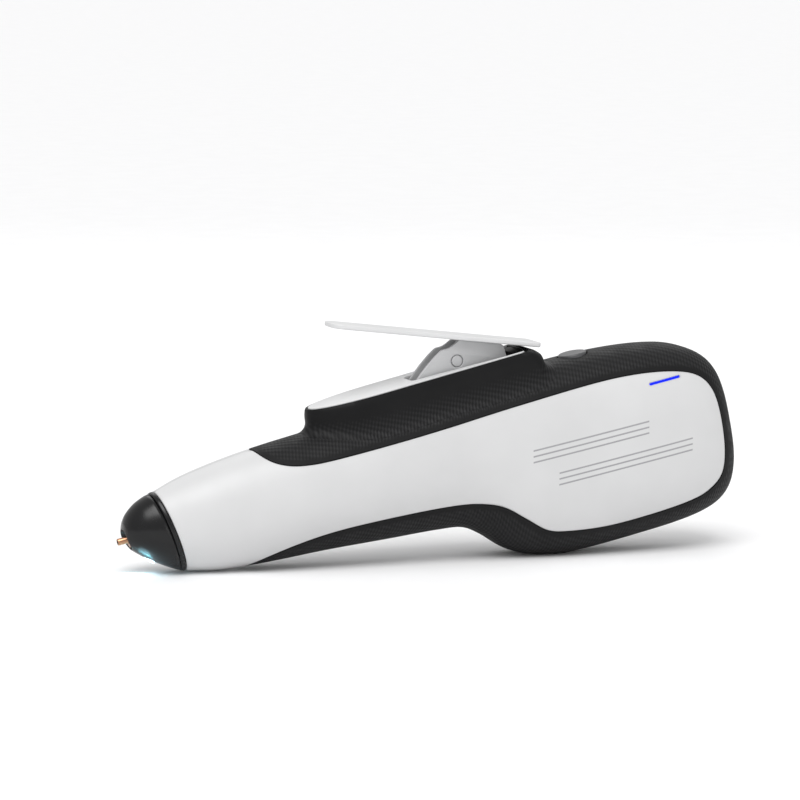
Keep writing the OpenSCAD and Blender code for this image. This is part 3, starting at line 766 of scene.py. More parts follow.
def rgba(color, by=1.0):
    return tuple(min(1.0, c * by) for c in color[:3]) + (1.0,)


def moulded(name, color, rough, grain=0.0004, depth=0.00001, change=0.05, **sockets):
    """Moulded plastic: slow colour drift, fine spark-eroded grain, uneven gloss."""
    s = Shader(name, **sockets)
    drift = s.spread(s.noise(0.018), 0, 1)
    s.tint(drift, rgba(color, 1 - change), rgba(color, 1 + change))
    s.uneven_gloss(0.006, 4, rough - 0.05, rough + 0.06)
    fine = s.bump(s.noise(grain, 2), depth)
    s.relief(s.noise(0.009, 2), 0.00002, under=fine)
    return s


def metal(name, color, rough, stretch):
    """Worked metal: brushed or turned lines, faint stains."""
    s = Shader(name, Metallic=1.0)
    stain = s.spread(s.noise(0.004, 4), 0, 1)
    s.tint(stain, rgba(color, 0.94), rgba(color, 1.06))
    line = s.noise(0.0006, 3, stretch=stretch)
    s.plug("Roughness", s.spread(line, rough - 0.06, rough + 0.10))
    s.relief(line, 0.000006)
    return s


def used_nozzle():
    """Turned copper alloy, heat-stained towards its foot, with painted shade in its bore."""
    s = metal("nozzle_brass", (0.46, 0.25, 0.145), 0.22, stretch=(1, 1, 30))
    clean = s.bsdf.inputs["Base Color"].links[0].from_socket
    stained = s.mix(s.attribute("stain"), clean, (0.16, 0.09, 0.06, 1))
    # Painted shade: the bore's inner wall is coloured near black.
    s.tint(s.attribute("bore"), stained, (0.012, 0.010, 0.009, 1))
    return s


def white_shell():
    """Satin white shell, with painted shade along its rims, broken up by noise."""
    s = Shader("white_shell", IOR=1.48)
    rim = s.attribute("edge_mm")
    drift = s.spread(s.noise(0.030), 0, 1)
    base = s.mix(drift, (0.545, 0.546, 0.549, 1), (0.592, 0.593, 0.596, 1))
    # Painted shade: within 0.7 mm of a rim or hole edge the shell turns grey, as if shaded in the gap.
    rim_shade = s.math("MULTIPLY", s.spread(rim, 0.55, 0.0, 0.0, 0.7), s.spread(s.noise(0.004), 0.5, 1))
    s.tint(rim_shade, base, (0.38, 0.38, 0.385, 1))
    s.uneven_gloss(0.008, 4, 0.36, 0.46)
    fine = s.bump(s.noise(0.00035, 2), 0.000006)
    s.relief(s.noise(0.014, 2), 0.00002, under=fine)
    return s


# Two groups of plain parallel lines on the side: start and end along the table, height over it.
STRIPES = [(0.026, 0.062, 0.0254), (0.034, 0.076, 0.0170)]
STRIPE_PITCH = 0.0017
STRIPE_HALF = 0.00024


def striped_shell():
    """The same shell with two groups of thin parallel grey lines, as a plain generic mark."""
    s = white_shell()
    s.material.name = "white_shell_striped"
    point = s.node("ShaderNodeSeparateXYZ", {"Vector": s.where})
    x, z = point.outputs["X"], point.outputs["Z"]
    level = s.math("SUBTRACT", z, s.math("MULTIPLY", x, float(ALONG[2] / ALONG[0])))
    whole = None
    for start, stop, height in STRIPES:
        shifted = s.math("SUBTRACT", level, height)
        line = s.math("LESS_THAN", s.math("PINGPONG", shifted, STRIPE_PITCH / 2), STRIPE_HALF)
        band = s.math("LESS_THAN", s.math("ABSOLUTE", shifted), STRIPE_PITCH * 1.5)
        span = s.math("MULTIPLY", s.math("GREATER_THAN", x, start), s.math("LESS_THAN", x, stop))
        mask = s.math("MULTIPLY", s.math("MULTIPLY", line, band), span)
        whole = mask if whole is None else s.math("ADD", whole, mask)
    old = s.bsdf.inputs["Base Color"].links[0].from_socket
    s.tint(whole, old, (0.30, 0.30, 0.31, 1))
    return s


WEAVE_PITCH_MM = 0.95


def weave(s):
    """Fine diagonal weave height in the skin's own millimetres."""
    x, y = s.attribute("along_mm"), s.attribute("around_mm")
    turn = 2 * math.pi / WEAVE_PITCH_MM
    steep = s.math("ADD", s.math("MULTIPLY", x, 0.94), s.math("MULTIPLY", y, 0.34))
    cross = s.math("SUBTRACT", s.math("MULTIPLY", x, 0.34), s.math("MULTIPLY", y, 0.94))
    rib = s.math("SINE", s.math("MULTIPLY", steep, turn))
    knot = s.math("SINE", s.math("MULTIPLY", cross, turn * 0.7))
    return s.math("ADD", s.math("MULTIPLY", rib, 0.30), s.math("MULTIPLY", knot, 0.24))


def woven_rubber(s, share, dark, light, noise_size, rough, grain, depths):
    """Black rubber that carries the weave, with a painted highlight on its ridges, where share is 1 and is
    smooth where it is 0.
    """
    height = s.math("MULTIPLY", s.math("ADD", weave(s), 0.5), share)
    base = s.mix(s.spread(s.noise(0.02), 0, 1), dark, light)
    # Painted highlight: the weave's ridges are tinted lighter than the rubber.
    ridge_highlight = s.math("MULTIPLY", s.spread(height, 0, 0.6, 0.2, 0.95), 0.9)
    s.tint(ridge_highlight, base, (0.027, 0.027, 0.028, 1))
    s.uneven_gloss(noise_size, 3, *rough)
    fine = s.bump(s.noise(grain, 2), depths[0])
    s.relief(height, depths[1], under=fine)
    return s


def turret_rubber():
    """Smooth black rubber whose foot takes on the weave of the grip."""
    s = Shader("turret_rubber", Specular_IOR_Level=0.16)
    foot = s.spread(s.attribute("foot"), 0, 1, 0.0, 1.0)
    dark, light = (0.0032, 0.0032, 0.0035, 1), (0.0056, 0.0056, 0.0060, 1)
    return woven_rubber(s, foot, dark, light, 0.006, (0.42, 0.54), 0.00035, (0.000006, 0.00010))


def grip_rubber():
    """Black rubber, woven except for a smooth margin."""
    s = Shader("grip_rubber", Specular_IOR_Level=0.18)
    margin = s.spread(s.attribute("edge_mm"), 0, 1, 0.9, 2.2)
    dark, light = (0.0040, 0.0040, 0.0043, 1), (0.0068, 0.0068, 0.0072, 1)
    return woven_rubber(s, margin, dark, light, 0.005, (0.50, 0.62), 0.00025, (0.000008, 0.00012))


def lit(name, color, strength, base):
    s = Shader(name, Emission_Color=rgba(color), Emission_Strength=strength, Specular_IOR_Level=0.2)
    s.uneven_gloss(0.001, 3, 0.35, 0.5)
    s.tint(s.noise(0.002), rgba(base, 0.9), rgba(base, 1.1))
    s.relief(s.noise(0.0005), 0.000004)
    return s


def lens():
    glow = {"Emission_Color": (0.62, 0.88, 1, 1), "Emission_Strength": 1.6}
    s = Shader("lens_clear", IOR=1.46, Transmission_Weight=0.6, **glow)
    s.uneven_gloss(0.001, 3, 0.08, 0.2)
    s.tint(s.noise(0.002), (0.85, 0.95, 1, 1), (0.95, 0.99, 1, 1))
    s.relief(s.noise(0.0006), 0.000006)
    return s


def circuit_board():
    """Green solder mask over copper runs."""
    s = Shader("pcb_mask", Coat_Weight=0.4, Coat_Roughness=0.15)
    brick = s.node(
        "ShaderNodeTexBrick",
        {
            "Vector": s.where, "Scale": 260.0, "Mortar Size": 0.012,
            "Color1": (0, 0, 0, 1), "Color2": (1, 1, 1, 1), "Mortar": (0.5, 0.5, 0.5, 1),
        },
    )
    share = s.math("MULTIPLY", brick.outputs["Fac"], 0.7)
    s.tint(share, (0.018, 0.16, 0.07, 1), (0.045, 0.30, 0.13, 1))
    s.uneven_gloss(0.003, 3, 0.28, 0.42)
    s.relief(brick.outputs["Fac"], 0.00003)
    return s


# Materials by the record's slots; the first four have names of their own.
MATERIALS = {
    "shell_white": white_shell(),
    "grip_black": grip_rubber(),
    "turret_black": turret_rubber(),
    "pcb_green": circuit_board(),
}
for look in (
    moulded("cone_black", (0.005, 0.005, 0.0055), 0.24, 0.0005, 0.000003, 0.2, Specular_IOR_Level=0.33),
    used_nozzle(),
    lens(),
    lit("led_white", (0.75, 0.92, 1.0), 0.9, (0.9, 0.9, 0.8)),
    metal("heater_metal", (0.70, 0.70, 0.71), 0.34, stretch=(40, 1, 1)),
    moulded("ceramic_cream", (0.78, 0.73, 0.62), 0.62, grain=0.0003, depth=0.00002),
    metal("spring_steel", (0.55, 0.56, 0.58), 0.26, stretch=(1, 1, 20)),
    moulded("mica_tan", (0.62, 0.50, 0.30), 0.6, grain=0.0012, depth=0.00003, change=0.12),
    moulded("silicone_red", (0.48, 0.09, 0.05), 0.5, change=0.08),
    moulded("frame_dark", (0.030, 0.032, 0.036), 0.5, change=0.12),
    moulded("tube_white", (0.78, 0.78, 0.76), 0.4),
    moulded("bush_black", (0.02, 0.02, 0.022), 0.4, change=0.15),
    moulded("carriage_orange", (0.72, 0.28, 0.04), 0.45, change=0.08),
    moulded("paddle_white", (0.605, 0.607, 0.61), 0.38, change=0.03, depth=0.000005),
    moulded("yoke_grey", (0.47, 0.472, 0.478), 0.42, change=0.05),
    moulded("pin_grey", (0.47, 0.472, 0.478), 0.40, change=0.05),
    moulded("link_grey", (0.28, 0.29, 0.31), 0.45, change=0.06),
    moulded("button_grey", (0.066, 0.067, 0.070), 0.34, change=0.12, depth=0.000006),
    metal("switch_metal", (0.70, 0.70, 0.71), 0.3, stretch=(1, 12, 1)),
    moulded("plunger_black", (0.02, 0.02, 0.02), 0.45),
    moulded("chip_black", (0.022, 0.022, 0.024), 0.55, grain=0.0002, depth=0.000012),
    lit("light_blue", (0.0, 0.012, 1.0), 0.9, (0.0, 0.01, 0.35)),
    metal("port_steel", (0.66, 0.67, 0.68), 0.3, stretch=(14, 1, 1)),
    moulded("cell_wrap", (0.03, 0.16, 0.34), 0.3, Coat_Weight=0.3),
    metal("tab_nickel", (0.72, 0.70, 0.66), 0.32, stretch=(1, 1, 14)),
    moulded("pad_foam", (0.05, 0.05, 0.055), 0.85, grain=0.0008, depth=0.00012, change=0.25),
    moulded("lead_red", (0.50, 0.02, 0.015), 0.42),
    moulded("lead_white", (0.78, 0.78, 0.76), 0.42),
    moulded("lead_black", (0.022, 0.022, 0.024), 0.42),
    metal("screw_dark", (0.16, 0.16, 0.17), 0.36, stretch=(1, 24, 1)),
):
    MATERIALS[look.name] = look


def paint(node):
    return MATERIALS[SLOTS[node]].material


# ---------------------------------------------------------------- shells
# Counterbores of the screws, and the thickness of the ledge under each head.
SCREW_SINK_R = 2.1
SCREW_HOLE_R = 1.2
SCREW_BOSS_R = 2.5
SCREW_LEDGE = 1.4
# Half the slit between the two shells, and how far the shells' front end stays from the skin's.
SLIT_GAP = 0.04
FRONT = 0.05
# Light line: the slot in the shell and the pipe in it, as front, rear, bottom and top.
LIGHT_SLOT = (162.7, 172.9, 8.5, 9.18)
LIGHT_PIPE = (162.85, 172.75, 8.6, 9.08)
INLET_R = 5.25
PORT_HALF, PORT_UP, PORT_R = 2.9, -7.7, 1.98
MOUTH_R = 3.15
LED_HOLE_R = 1.9


def panel_curve(by):
    """Panel outline from its top end round the rear to its lower end, moved inwards by a distance."""
    return sideways(spaced(smooth(PANEL, 10), 0.5), -by)


def on_left(curve):
    """Panel outline as (x, a), from the top seam to the bottom seam."""
    q = body.from_side(curve)
    top = np.where(q[:, 1] < TOP + 1e-4)[0]
    bottom = np.where(q[:, 1] > BOTTOM - 1e-4)[0]
    first = top[-1] if len(top) else 0
    last = bottom[0] if len(bottom) else len(q) - 1
    return q[first : last + 1]


def circle_points(centre, r, start, stop, count):
    a = np.linspace(start, stop, count)
    return columns(centre[0] + r * np.cos(a), centre[1] + r * np.sin(a))


def left_half(r, centre=(0, 0), count=49):
    """Half circle at y under 0, from its top to its bottom."""
    return circle_points(centre, r, math.pi / 2, 3 * math.pi / 2, count)


def rounded_box(u0, u1, w0, w1, r):
    corners = [(u1 - r, w1 - r, 0), (u0 + r, w1 - r, 90), (u0 + r, w0 + r, 180), (u1 - r, w0 + r, 270)]
    out = []
    for u, w, start in corners:
        out += list(circle_points((u, w), r, math.radians(start), math.radians(start + 90), 5))
    return spaced(out + [out[0]], 0.4)[:-1]


def on_seam(q, first=TOP, last=TOP):
    """The same run of (x, a) points with both ends set on the seam."""
    q[0, 1], q[-1, 1] = first, last
    return q


def panel_half(holes):
    rim = on_left(panel_curve(PANEL_GAP / 2))
    front = columns(np.full(48, FRONT), np.linspace(BOTTOM, TOP, 48))
    upper, lower = seam(FRONT, rim[0, 0], TOP), seam(rim[-1, 0], FRONT, BOTTOM)
    outer = chain((upper, True), (rim, True), (lower, True), (front, True))
    return shell_half(body, outer, holes, gap=SLIT_GAP)


def housing_left():
    half = panel_half([rim_loop(body.from_side(rounded_box(*LIGHT_SLOT, 0.3)))])
    data = shell_mesh([half])
    piece("housing_left", data, material=striped_shell().material)


def housing_right():
    holes = []
    for u, w, seat in SCREWS:
        ring = circle_points((u, w), SCREW_SINK_R, 2 * math.pi, 0, 41)[:-1]
        ledge = SCREW_LEDGE - seat
        floor = [(SCREW_SINK_R, -seat), (SCREW_HOLE_R, -seat), (SCREW_HOLE_R, ledge), (SCREW_BOSS_R, ledge)]
        holes.append(rim_loop(body.from_side(ring), ((u, w), floor)))
    data = shell_mesh([mirrored(panel_half(holes))])
    piece("housing_right", data)


def boat(grow, tail):
    """Right half of the deck's plan, from the tip to the middle of the tail."""
    r = DECK_CORNER + max(grow, -1.5)
    half = DECK_HALF + grow
    reach = DECK_REACH + grow
    a = np.radians(np.linspace(180, 90, 72))
    tip = columns(DECK_REACH + reach * np.cos(a), half * power(np.sin(a), 0.9))
    side = columns(np.linspace(DECK_REACH, tail - r, 40)[1:], np.full(39, half))
    a = np.radians(np.linspace(90, 0, 14))
    corner = columns(tail - r + r * np.cos(a), half - r + r * np.sin(a))[1:]
    end = columns(np.full(12, tail), np.linspace(half - r, 0, 13)[1:])
    return np.concatenate([tip, side, corner, end])


def grip_band():
    rim = on_left(panel_curve(-PANEL_GAP / 2))[::-1]
    well = spaced(boat(1.35, DECK_TAIL + 4.2), 0.5) * [1, -1] + [DECK_TIP[0], 0]
    button = circle_points((BUTTON_U, 0), BUTTON_R + 0.35, math.pi, 2 * math.pi, 41)
    port_end = left_half(PORT_R, (-PORT_HALF, PORT_UP), 21)
    port = np.concatenate([[(0, PORT_UP + PORT_R)], port_end, [(0, PORT_UP - PORT_R)]])
    rear = body.end - 12
    well, button = on_seam(body.from_top(well)), on_seam(body.from_top(button))
    bush = on_seam(body.from_end(left_half(INLET_R), rear))
    port = on_seam(body.from_end(spaced(port, 0.3), rear), TOP, BOTTOM)
    runs = []
    for last, opening in ((rim, well), (well, button), (button, bush), (bush, port)):
        pitch = 0.3 if opening is port else 1.2
        runs += [(seam(last[-1, 0], opening[0, 0], TOP, pitch), False), (opening, True)]
    loop = chain(*runs, (seam(port[-1, 0], rim[0, 0], BOTTOM), False), (rim, True))
    half = shell_half(body, loop, step=(1.3, 0.9), edge=0.32)
    piece("grip_band", shell_mesh([half, mirrored(half)]))


def light_pipe():
    loop = rim_loop(body.from_side(rounded_box(*LIGHT_PIPE, 0.22)))
    half = shell_half(body, loop, edge=0.12, wall=1.6, step=(1.2, 0.3))
    half["points"][:, 1] += 0.08
    piece("light_pipe", shell_mesh([half]))


def nose_cone():
    mouth = on_seam(cone.from_end(left_half(MOUTH_R)), TOP, BOTTOM)
    led = led_notch(LED_HOLE_R)
    last = cone.end - 0.02
    rear = columns(np.full(48, last), np.linspace(TOP, BOTTOM, 48))
    loop = chain(
        (seam(mouth[0, 0], last, TOP, 0.6), False),
        (rear, True),
        (seam(last, led[0, 0], BOTTOM, 0.5), False),
        (led, True),
        (seam(led[-1, 0], mouth[-1, 0], BOTTOM, 0.4), False),
        (mouth[::-1], True),
    )
    half = shell_half(cone, loop, edge=0.25, wall=1.4, step=(0.7, 0.7))
    piece("nose_cone", shell_mesh([half, mirrored(half)]))


# The work light: its middle on the cone, and the way that it faces.
LED_SPOT = np.array([8.2, 0.0, -7.4])
LED_TURN = -132.0
LED_WAY = np.array([math.sin(math.radians(LED_TURN)), 0.0, math.cos(math.radians(LED_TURN))])


def led_notch(r):
    """Left half of the work light's hole on the cone, from rear to front, as (x, a)."""
    side = np.array([math.cos(math.radians(LED_TURN)), 0.0, -math.sin(math.radians(LED_TURN))])
    turn = np.linspace(0, math.pi, 25)
    x = np.full(25, float(cone.x_at(np.array([6.5]), np.array([-6.0]))[0]))
    a = np.full(25, BOTTOM) - 0.25 * np.sin(turn)
    goal_side = -r * np.cos(turn) * np.sign(side[0])
    goal_across = -r * np.sin(turn)
    # Newton's method, damped, for the skin point above each point of the half circle.
    for _ in range(25):
        gap = cone.point(x, a) - LED_SPOT
        miss = columns(gap @ side - goal_side, gap[:, 1] - goal_across)
        slopes = cone.slopes(x, a)
        jac = np.stack([np.stack([s @ side for s in slopes], 1), np.stack([s[:, 1] for s in slopes], 1)], 1)
        move = np.array([np.linalg.lstsq(j, m, rcond=None)[0] for j, m in zip(jac, miss)])
        x = np.clip(x - 0.7 * np.clip(move[:, 0], -1, 1), 0.1, cone.end - 0.1)
        a = a - 0.7 * np.clip(move[:, 1], -0.3, 0.3)
    q = on_seam(columns(x, a), BOTTOM, BOTTOM)
    return q if q[0, 0] > q[-1, 0] else q[::-1]


def nose_ring():
    """Thin ring between the cone and the shells: its front and rear sections, and its profile."""
    front = np.array([14.38, 11.35, -12.35, 9.42, 2.05, 0.17])
    rear = np.array([15.62, 11.55, -12.75, 9.62, 2.05, 0.17])
    profile = [
        (0, -0.2), (0.05, -0.06), (0.14, 0.02), (0.28, 0.05), (0.72, 0.05), (0.86, 0.02), (0.95, -0.06),
        (1, -0.2), (1, -2.1), (0, -2.1),
    ]
    rings = []
    turns = np.linspace(0, 2 * math.pi, 144, endpoint=False)
    for share, out in profile:
        s, top, bottom, half, n, lean = front + (rear - front) * share
        up = (top + bottom) / 2 + ((top - bottom) / 2 + out) * power(np.sin(turns), 2 / n)
        y = (half + out) * power(np.cos(turns), 2 / n)
        rings.append(world(columns(s - lean * up, y, up)))
    piece("nose_ring", ring_stack_mesh(rings, closed=True))


def nozzle():
    """Turned tube with a collar and a hexagon; its bore, which gets painted shade, and its heat stain are
    marked for the material.
    """
    r, collar, foot, bore = 1.0, 2.0, 2.9, 0.7
    tube = lathe_mesh([
        (bore, 0.52), (bore + 0.05, 0.52), (r - 0.12, 0.52), (r - 0.03, 0.57), (r, 0.68), (r, 3.1),
        (1.35, 3.6), (collar - 0.05, 3.6), (collar, 3.65), (collar, 5.6), (foot - 0.05, 5.6),
        (foot, 5.65), (foot, 7.85), (2.2, 7.9), (2.2, 13.3), (1.5, 13.4), (bore, 7.9),
    ], closed=True)
    hexagon = [(2.5 * math.cos(math.radians(60 * k)), 2.5 * math.sin(math.radians(60 * k))) for k in range(6)]
    nut = plate_mesh(hexagon, 1.7, 0.18)
    nut.transform(shift(0, 0, 3.7))
    data = joined([tube, nut])
    radius = np.array([math.hypot(v.co.x, v.co.y) for v in data.vertices])
    height = np.array([v.co.z for v in data.vertices])
    # The bore mark picks out the inner wall, which the material paints with shade.
    add_values(data, bore=radius < bore + 0.03, stain=np.clip((height - 1.2) / 4, 0, 1))
    piece("nozzle", data, AXIS_FRAME @ turn_y(90))


def led_window():
    data = lathe_mesh([
        (0, -1.8), (1.75, -1.8), (1.8, -1.75), (1.8, -0.35), (1.7, -0.2), (1.3, -0.06), (0.7, 0), (0, 0),
    ])
    piece("led_window", data, AXIS_FRAME @ shift(*LED_SPOT) @ turn_y(LED_TURN))


# ---------------------------------------------------------------- turret and deck
def body_height(u, y):
    """Height of the body's upper side at points seen from above."""
    x = body.x_at(u, 0 * u)
    _, top, bottom, half, n, _ = body.row(x)
    share = np.clip(1 - np.abs(y / half) ** n, 0, 1) ** (1 / n)
    return (top + bottom) / 2 + (top - bottom) / 2 * share


def deck_rings(levels):
    """Whole outlines of the deck's plan in the axis frame, from (height, growth, tail's growth)."""
    rings = []
    for z, grow, tail in levels:
        right = boat(grow, DECK_TAIL + tail)
        plan = np.concatenate([right, right[::-1][1:-1] * [1, -1]])
        rings.append(np.array([tuple(DECK_FRAME @ Vector((x, y, z))) for x, y in plan]))
    return rings


def turret_upright(line, heights, way, fillet):
    """One upright of the turret: its lip and leaning wall down to the fillet's start, then the fillet."""
    order = np.argsort(heights)

    def at_height(h):
        return np.array([np.interp(h, heights[order], line[order, i]) for i in range(3)])

    foot = at_height(fillet)
    upright = list(line[:8])
    if heights[7] > fillet:
        upright += [at_height(h) for h in np.linspace(heights[7], fillet, 9)[1:]]
    else:
        upright += [line[7]] * 8
    for c in np.radians(np.linspace(0, 90, 10)[1:]):
        u, y = foot[:2] + way * fillet * (1 - math.cos(c))
        ground = float(body_height(np.array([u]), np.array([y]))[0])
        upright.append(np.array([u, y, ground + fillet * (1 - math.sin(c))]))
    return upright + [upright[-1] - [0, 0, 0.25]]


def turret():
    """Raised rim round the deck: rounded lip, leaning wall and a fillet that runs out on the grip."""
    walls = np.array(deck_rings(smooth([
        (-0.32, 0.42, 1.1), (-0.22, 0.62, 1.5), (-0.32, 0.84, 2.0), (-0.7, 1.05, 2.7), (-1.4, 1.28, 3.5),
        (-3.0, 1.6, 4.8), (-7, 1.9, 5.4), (-12, 2.3, 6.2),
    ], 4)))
    plan = walls[-1]
    way = np.roll(plan, -1, axis=0)[:, :2] - np.roll(plan, 1, axis=0)[:, :2]
    way = columns(way[:, 1], -way[:, 0])
    way /= np.maximum(np.linalg.norm(way, axis=1, keepdims=True), 1e-9)
    outwards = plan[:, :2] - [95, 0]
    way *= np.sign((way * outwards).sum(axis=1, keepdims=True))
    fillets = 1.5 + 1.7 * np.abs(way[:, 0]) ** 2
    above = walls[:, :, 2] - body_height(walls[:, :, 0], walls[:, :, 1])
    uprights = [turret_upright(walls[:, k], above[:, k], way[k], fillets[k]) for k in range(len(plan))]
    inner = deck_rings([
        (-0.32, 0.12, 0.12), (-1.7, 0.12, 0.12), (-1.72, -1.0, 0.0), (-3.0, -1.0, 0.0), (-3.02, 0.0, 3.1),
        (-11, 0.4, 4.2),
    ])
    rings = inner[::-1] + list(np.array(uprights).transpose(1, 0, 2))
    wall = ring_stack_mesh([world(r) for r in rings], closed=True, degrees=50)
    roof = block_mesh((DECK_TAIL - 2.9, -6.7, -1.5), (DECK_TAIL + 1.4, 6.7, -0.5), 0.12)
    roof.transform(AXIS_FRAME @ DECK_FRAME)
    data = joined([wall, roof])
    spots = np.array([tuple(v.co) for v in data.vertices]) - ORIGIN
    u, y, w = (1000 * spots @ axis for axis in (ALONG, ACROSS, UP))
    ground = body_height(np.clip(u, 20, 180), np.clip(y, -15, 15))
    deck_level = DECK_TIP[2] + (u - DECK_TIP[0]) * math.tan(math.radians(DECK_TILT))
    share = np.clip((w - ground) / np.maximum(deck_level - ground, 0.5), 0, 1)
    add_values(data, along_mm=u, around_mm=y * 0.5 - w, foot=1.25 - share * 2.1)
    piece("turret", data)


def deck():
    """Boat-shaped plate, open round the lever and out to the rear."""
    start = 99.1 - DECK_TIP[0]
    half_slot = 7.1
    right = boat(0, DECK_TAIL)
    right = right[(right[:, 0] < DECK_TAIL - 3) | (right[:, 1] > half_slot + 0.05)]
    corner = DECK_CORNER
    tail_x = DECK_TAIL - corner + math.sqrt(corner * corner - (half_slot - DECK_HALF + corner) ** 2)
    near = circle_points((start - 3, 2.8), 1.4, math.pi / 2, math.pi, 9)
    far = circle_points((start - 3, -2.8), 1.4, math.pi, 3 * math.pi / 2, 9)
    slot = [
        (tail_x, half_slot), (start + 24, half_slot), (start, 4.2), *near,
        *far, (start, -4.2), (start + 24, -half_slot), (tail_x, -half_slot),
    ]
    outline = [*right, *slot, *(right * [1, -1])[::-1][:-1]]
    data = plate_mesh(outline, DECK_T, 0.22)
    data.transform(shift(0, 0, -DECK_T))
    piece("deck", data, AXIS_FRAME @ DECK_FRAME)


# ---------------------------------------------------------------- lever
PADDLE_L, PADDLE_W, PADDLE_T, LEVER_UNDER = 64.6, 11.6, 1.4, 5.0


def paddle():
    front, half = PADDLE_L - 2.6, PADDLE_W / 2
    a = np.radians(np.linspace(90, 270, 41))
    tip = columns(-front + 4 + 4 * np.cos(a), half * power(np.sin(a), 0.6))
    low = circle_points((1.1, -half + 1.5), 1.5, -math.pi / 2, 0, 9)
    high = circle_points((1.1, half - 1.5), 1.5, 0, math.pi / 2, 9)
    data = plate_mesh(np.concatenate([tip, low, high]), PADDLE_T, 0.38, 4)
    data.transform(shift(0, 0, LEVER_UNDER))
    piece("lever_paddle", data, AXIS_FRAME @ LEVER_FRAME, "lever")


# Side outline of a cheek from the hinge: the boss round the hinge is an arc.
HINGE_BOSS_R = 2.85
CHEEK = [
    (-34.5, -9.3), (-33.4, -7.0), (-31.4, -3.8), (-29.2, -0.7), (-27.4, 1.4), (-25.2, 2.2), (-23.6, 3.5),
    (-22.2, 4.95), (-9.6, 4.95), (-8.3, 4.4), (-7.6, 2.9), (-6.9, 1.2), (-4, 0.9), (-1.6, 2.4),
    *((HINGE_BOSS_R * math.sin(a), HINGE_BOSS_R * math.cos(a)) for a in np.radians(range(0, 181, 20))),
    (-6, -4.3), (-16, -5.9), (-26, -8.2), (-32.6, -10.1), (-34.0, -10.0),
]
LINK_PIN = (-22.2, -1.3)
LINK_PIN_R = 1.85
CORNER_CUT = 0.45


def softened(points):
    """Outline with each corner cut to a short arc."""
    p = np.array(points, float)
    out = []
    for a, b, c in zip(np.roll(p, 1, axis=0), p, np.roll(p, -1, axis=0)):
        near = b + (a - b) * min(0.4, CORNER_CUT / np.linalg.norm(a - b))
        far = b + (c - b) * min(0.4, CORNER_CUT / np.linalg.norm(c - b))
        for t in (0, 0.33, 0.67, 1):
            out.append(tuple((1 - t) ** 2 * near + 2 * t * (1 - t) * b + t * t * far))
    return out


def yoke():
    """Two rounded cheeks and the web under the paddle."""
    hole = circle_points(LINK_PIN, LINK_PIN_R + 0.01, 0, 2 * math.pi, 49)[:-1]
    meshes = []
    for y in (3.2, -2.1):
        cheek = plate_mesh(softened(CHEEK), 1.1, 0.28, 3, holes=[hole])
        cheek.transform(shift(0, y, 0) @ UPRIGHT)
        meshes.append(cheek)
    meshes.append(block_mesh((-21.4, -2.3, LEVER_UNDER - 1.3), (-9.6, 2.3, LEVER_UNDER - 0.05), 0.15))
    piece("lever_yoke", joined(meshes), AXIS_FRAME @ LEVER_FRAME, "lever")


def link_pin():
    """Pin with a dished head behind a fine groove at both ends."""
    r = LINK_PIN_R
    profile = [(0, -3.2), (r - 0.36, -3.2), (r - 0.27, -3.12), (r - 0.25, -2.6), (r, -2.6)]
    profile += [(p, -z) for p, z in profile[::-1]]
    place = AXIS_FRAME @ LEVER_FRAME @ shift(LINK_PIN[0], 0, LINK_PIN[1]) @ UPRIGHT
    piece("link_pin", lathe_mesh(profile), place, "lever")


def power_button():
    r = BUTTON_R
    data = lathe_mesh([
        (0, -3.4), (1.3, -3.4), (1.3, -3.2), (r + 0.9, -3.2), (r + 0.9, -2.7), (r, -2.7), (r, 0.55),
        (r - 0.08, 0.8), (r - 0.28, 0.98), (r - 0.7, 1.08), (r * 0.5, 1.13), (0, 1.15),
    ])
    piece("power_button", data, AXIS_FRAME @ shift(BUTTON_U, 0, BUTTON_UP), "button")


SPRING_FROM, SPRING_TO = 57.9, 86.88
SPRING_TURNS = 9


def return_spring():
    """Compression spring round the glue stick, built at one length; on the pen it shortens as the carriage
    comes forward.
    """
    turn = np.linspace(0, SPRING_TURNS * 2 * math.pi, SPRING_TURNS * 28 + 1)
    share = turn / turn[-1]
    ends = np.clip(np.minimum(share, 1 - share) * SPRING_TURNS, 0, 1)
    # The turns lie closer together towards both ends.
    spread = share - 0.035 * np.sin(2 * math.pi * share) * ends
    along = SPRING_FROM + 0.4 + (SPRING_TO - SPRING_FROM - 0.8) * spread
    path = columns(along, 4.9 * np.cos(turn), 4.9 * np.sin(turn))
    obj = piece("return_spring", wire_mesh(path, 0.38))
    tuple(world([SPRING_FROM, 0, 0]))
    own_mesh(obj)


def lever_spring():
    """Torsion spring on the hinge pin; one leg lies under the lever, the other on the frame."""
    turn = np.radians(90) + np.linspace(0, 3.5 * 2 * math.pi, 99)
    share = np.linspace(0, 1, 99)
    coil = columns(2.25 * np.cos(turn), -1.5 + 3 * share, 2.25 * np.sin(turn))
    first = spaced([(-8, -1.5, 5.3), (-5.6, -1.5, 2.6), tuple(coil[0])], 0.6)[:-1]
    last = spaced([tuple(coil[-1]), (-5, 1.5, -3.2), (-9, 1.5, -4.2)], 0.6)[1:]
    path = np.concatenate([first, coil, last]) + np.array(HINGE)
    obj = piece("lever_spring", wire_mesh(path, 0.35), body_name=None)
    still, moved = (tuple(world(np.array(HINGE) + [0, y, 0])) for y in (1.4, -1.4))
    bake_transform(obj)


for build in (
    return_spring, lever_spring, housing_left, housing_right, grip_band, light_pipe, nose_cone,
    nose_ring, nozzle, led_window, turret, deck, paddle, yoke, link_pin, power_button,
):
    build()

# ---------------------------------------------------------------- CAD nodes that keep their shape
for name, obj in frame["nodes"].items():
    obj.data.materials.clear()
    obj.data.materials.append(paint(name))

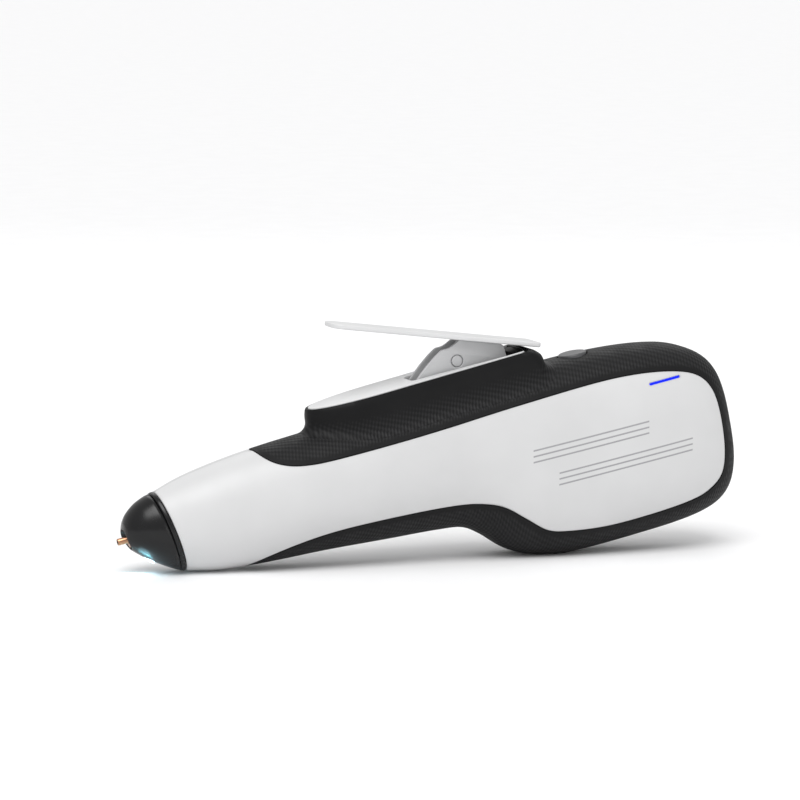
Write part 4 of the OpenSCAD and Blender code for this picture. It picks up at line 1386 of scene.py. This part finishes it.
# ---------------------------------------------------------------- stage
FLOOR_DROP = 0.0002
floor_mesh = bpy.data.meshes.new("floor")
corners = [(x, y, -FLOOR_DROP) for x, y in ((-9, -9), (9, -9), (9, 9), (-9, 9))]
floor_mesh.from_pydata(corners, [], [(0, 1, 2, 3)])
floor_mesh.materials.append(moulded("floor_pale", (0.92, 0.92, 0.925), 0.7, change=0.01).material)
place_object("floor", floor_mesh)


def lamp(name, kind, energy, place, rotation=None, **settings):
    data = bpy.data.lights.new(name, kind)
    data.energy = energy
    for key, value in settings.items():
        setattr(data, key, value)
    return place_object(name, data, place, rotation)


def facing(way):
    """Rotation that points a lamp or camera along a direction."""
    return Vector(way).to_track_quat("-Z", "Y")


for name, place, aim, (width, height), energy in (
    ("key", (-0.35, -0.55, 0.75), (0, 0, 0.03), (0.7, 0.5), 1.35),
    ("fill", (0.5, -0.95, 0.2), (0.02, 0, 0.03), (0.9, 0.36), 1.0),
    ("back", (0.2, 0.6, 0.6), (0, 0, 0.05), (0.8, 0.4), 1.1),
):
    way = facing(Vector(aim) - Vector(place))
    lamp(name, "AREA", energy, place, way, shape="RECTANGLE", size=width, size_y=height)

beam_way = Vector(world(LED_SPOT + 2 * LED_WAY)) - Vector(world(LED_SPOT))
lamp(
    "work_beam", "SPOT", 0.012, world(LED_SPOT + 0.4 * LED_WAY), facing(beam_way),
    color=(0.25, 0.85, 1.0), spot_size=math.radians(75), spot_blend=0.9, shadow_soft_size=0.001,
)
glow_spot = LED_SPOT + 4.0 * LED_WAY + np.array([-1.0, -3.5, 0.0])
lamp("work_glow", "POINT", 0.0028, world(glow_spot), color=(0.45, 0.85, 1.0), shadow_soft_size=0.004)
sun = lamp("sun", "SUN", 1.5, (0, 0, 0), angle=math.radians(40))
sun.rotation_euler = (math.radians(25), math.radians(-15), 0)

sky = bpy.data.worlds.new("studio")
sky.use_nodes = True
sky.node_tree.nodes["Background"].inputs["Color"].default_value = (1, 1, 1, 1)
sky.node_tree.nodes["Background"].inputs["Strength"].default_value = 0.66
bpy.context.scene.world = sky
bpy.context.scene.view_settings.view_transform = "Standard"

# ---------------------------------------------------------------- camera
azimuth, elevation, roll = math.radians(-20), math.radians(7.5), math.radians(0.35)
aim = Vector((-0.0094, 0, 0.0467))
distance = 1.2
back = Vector((
    math.sin(azimuth) * math.cos(elevation), -math.cos(azimuth) * math.cos(elevation), math.sin(elevation),
))
lens_data = bpy.data.cameras.new("camera")
lens_data.sensor_width = 36
lens_data.lens = 186.6
turn = facing(-back) @ Matrix.Rotation(roll, 4, "Z").to_quaternion()
bpy.context.scene.camera = place_object("camera", lens_data, aim + distance * back, turn)
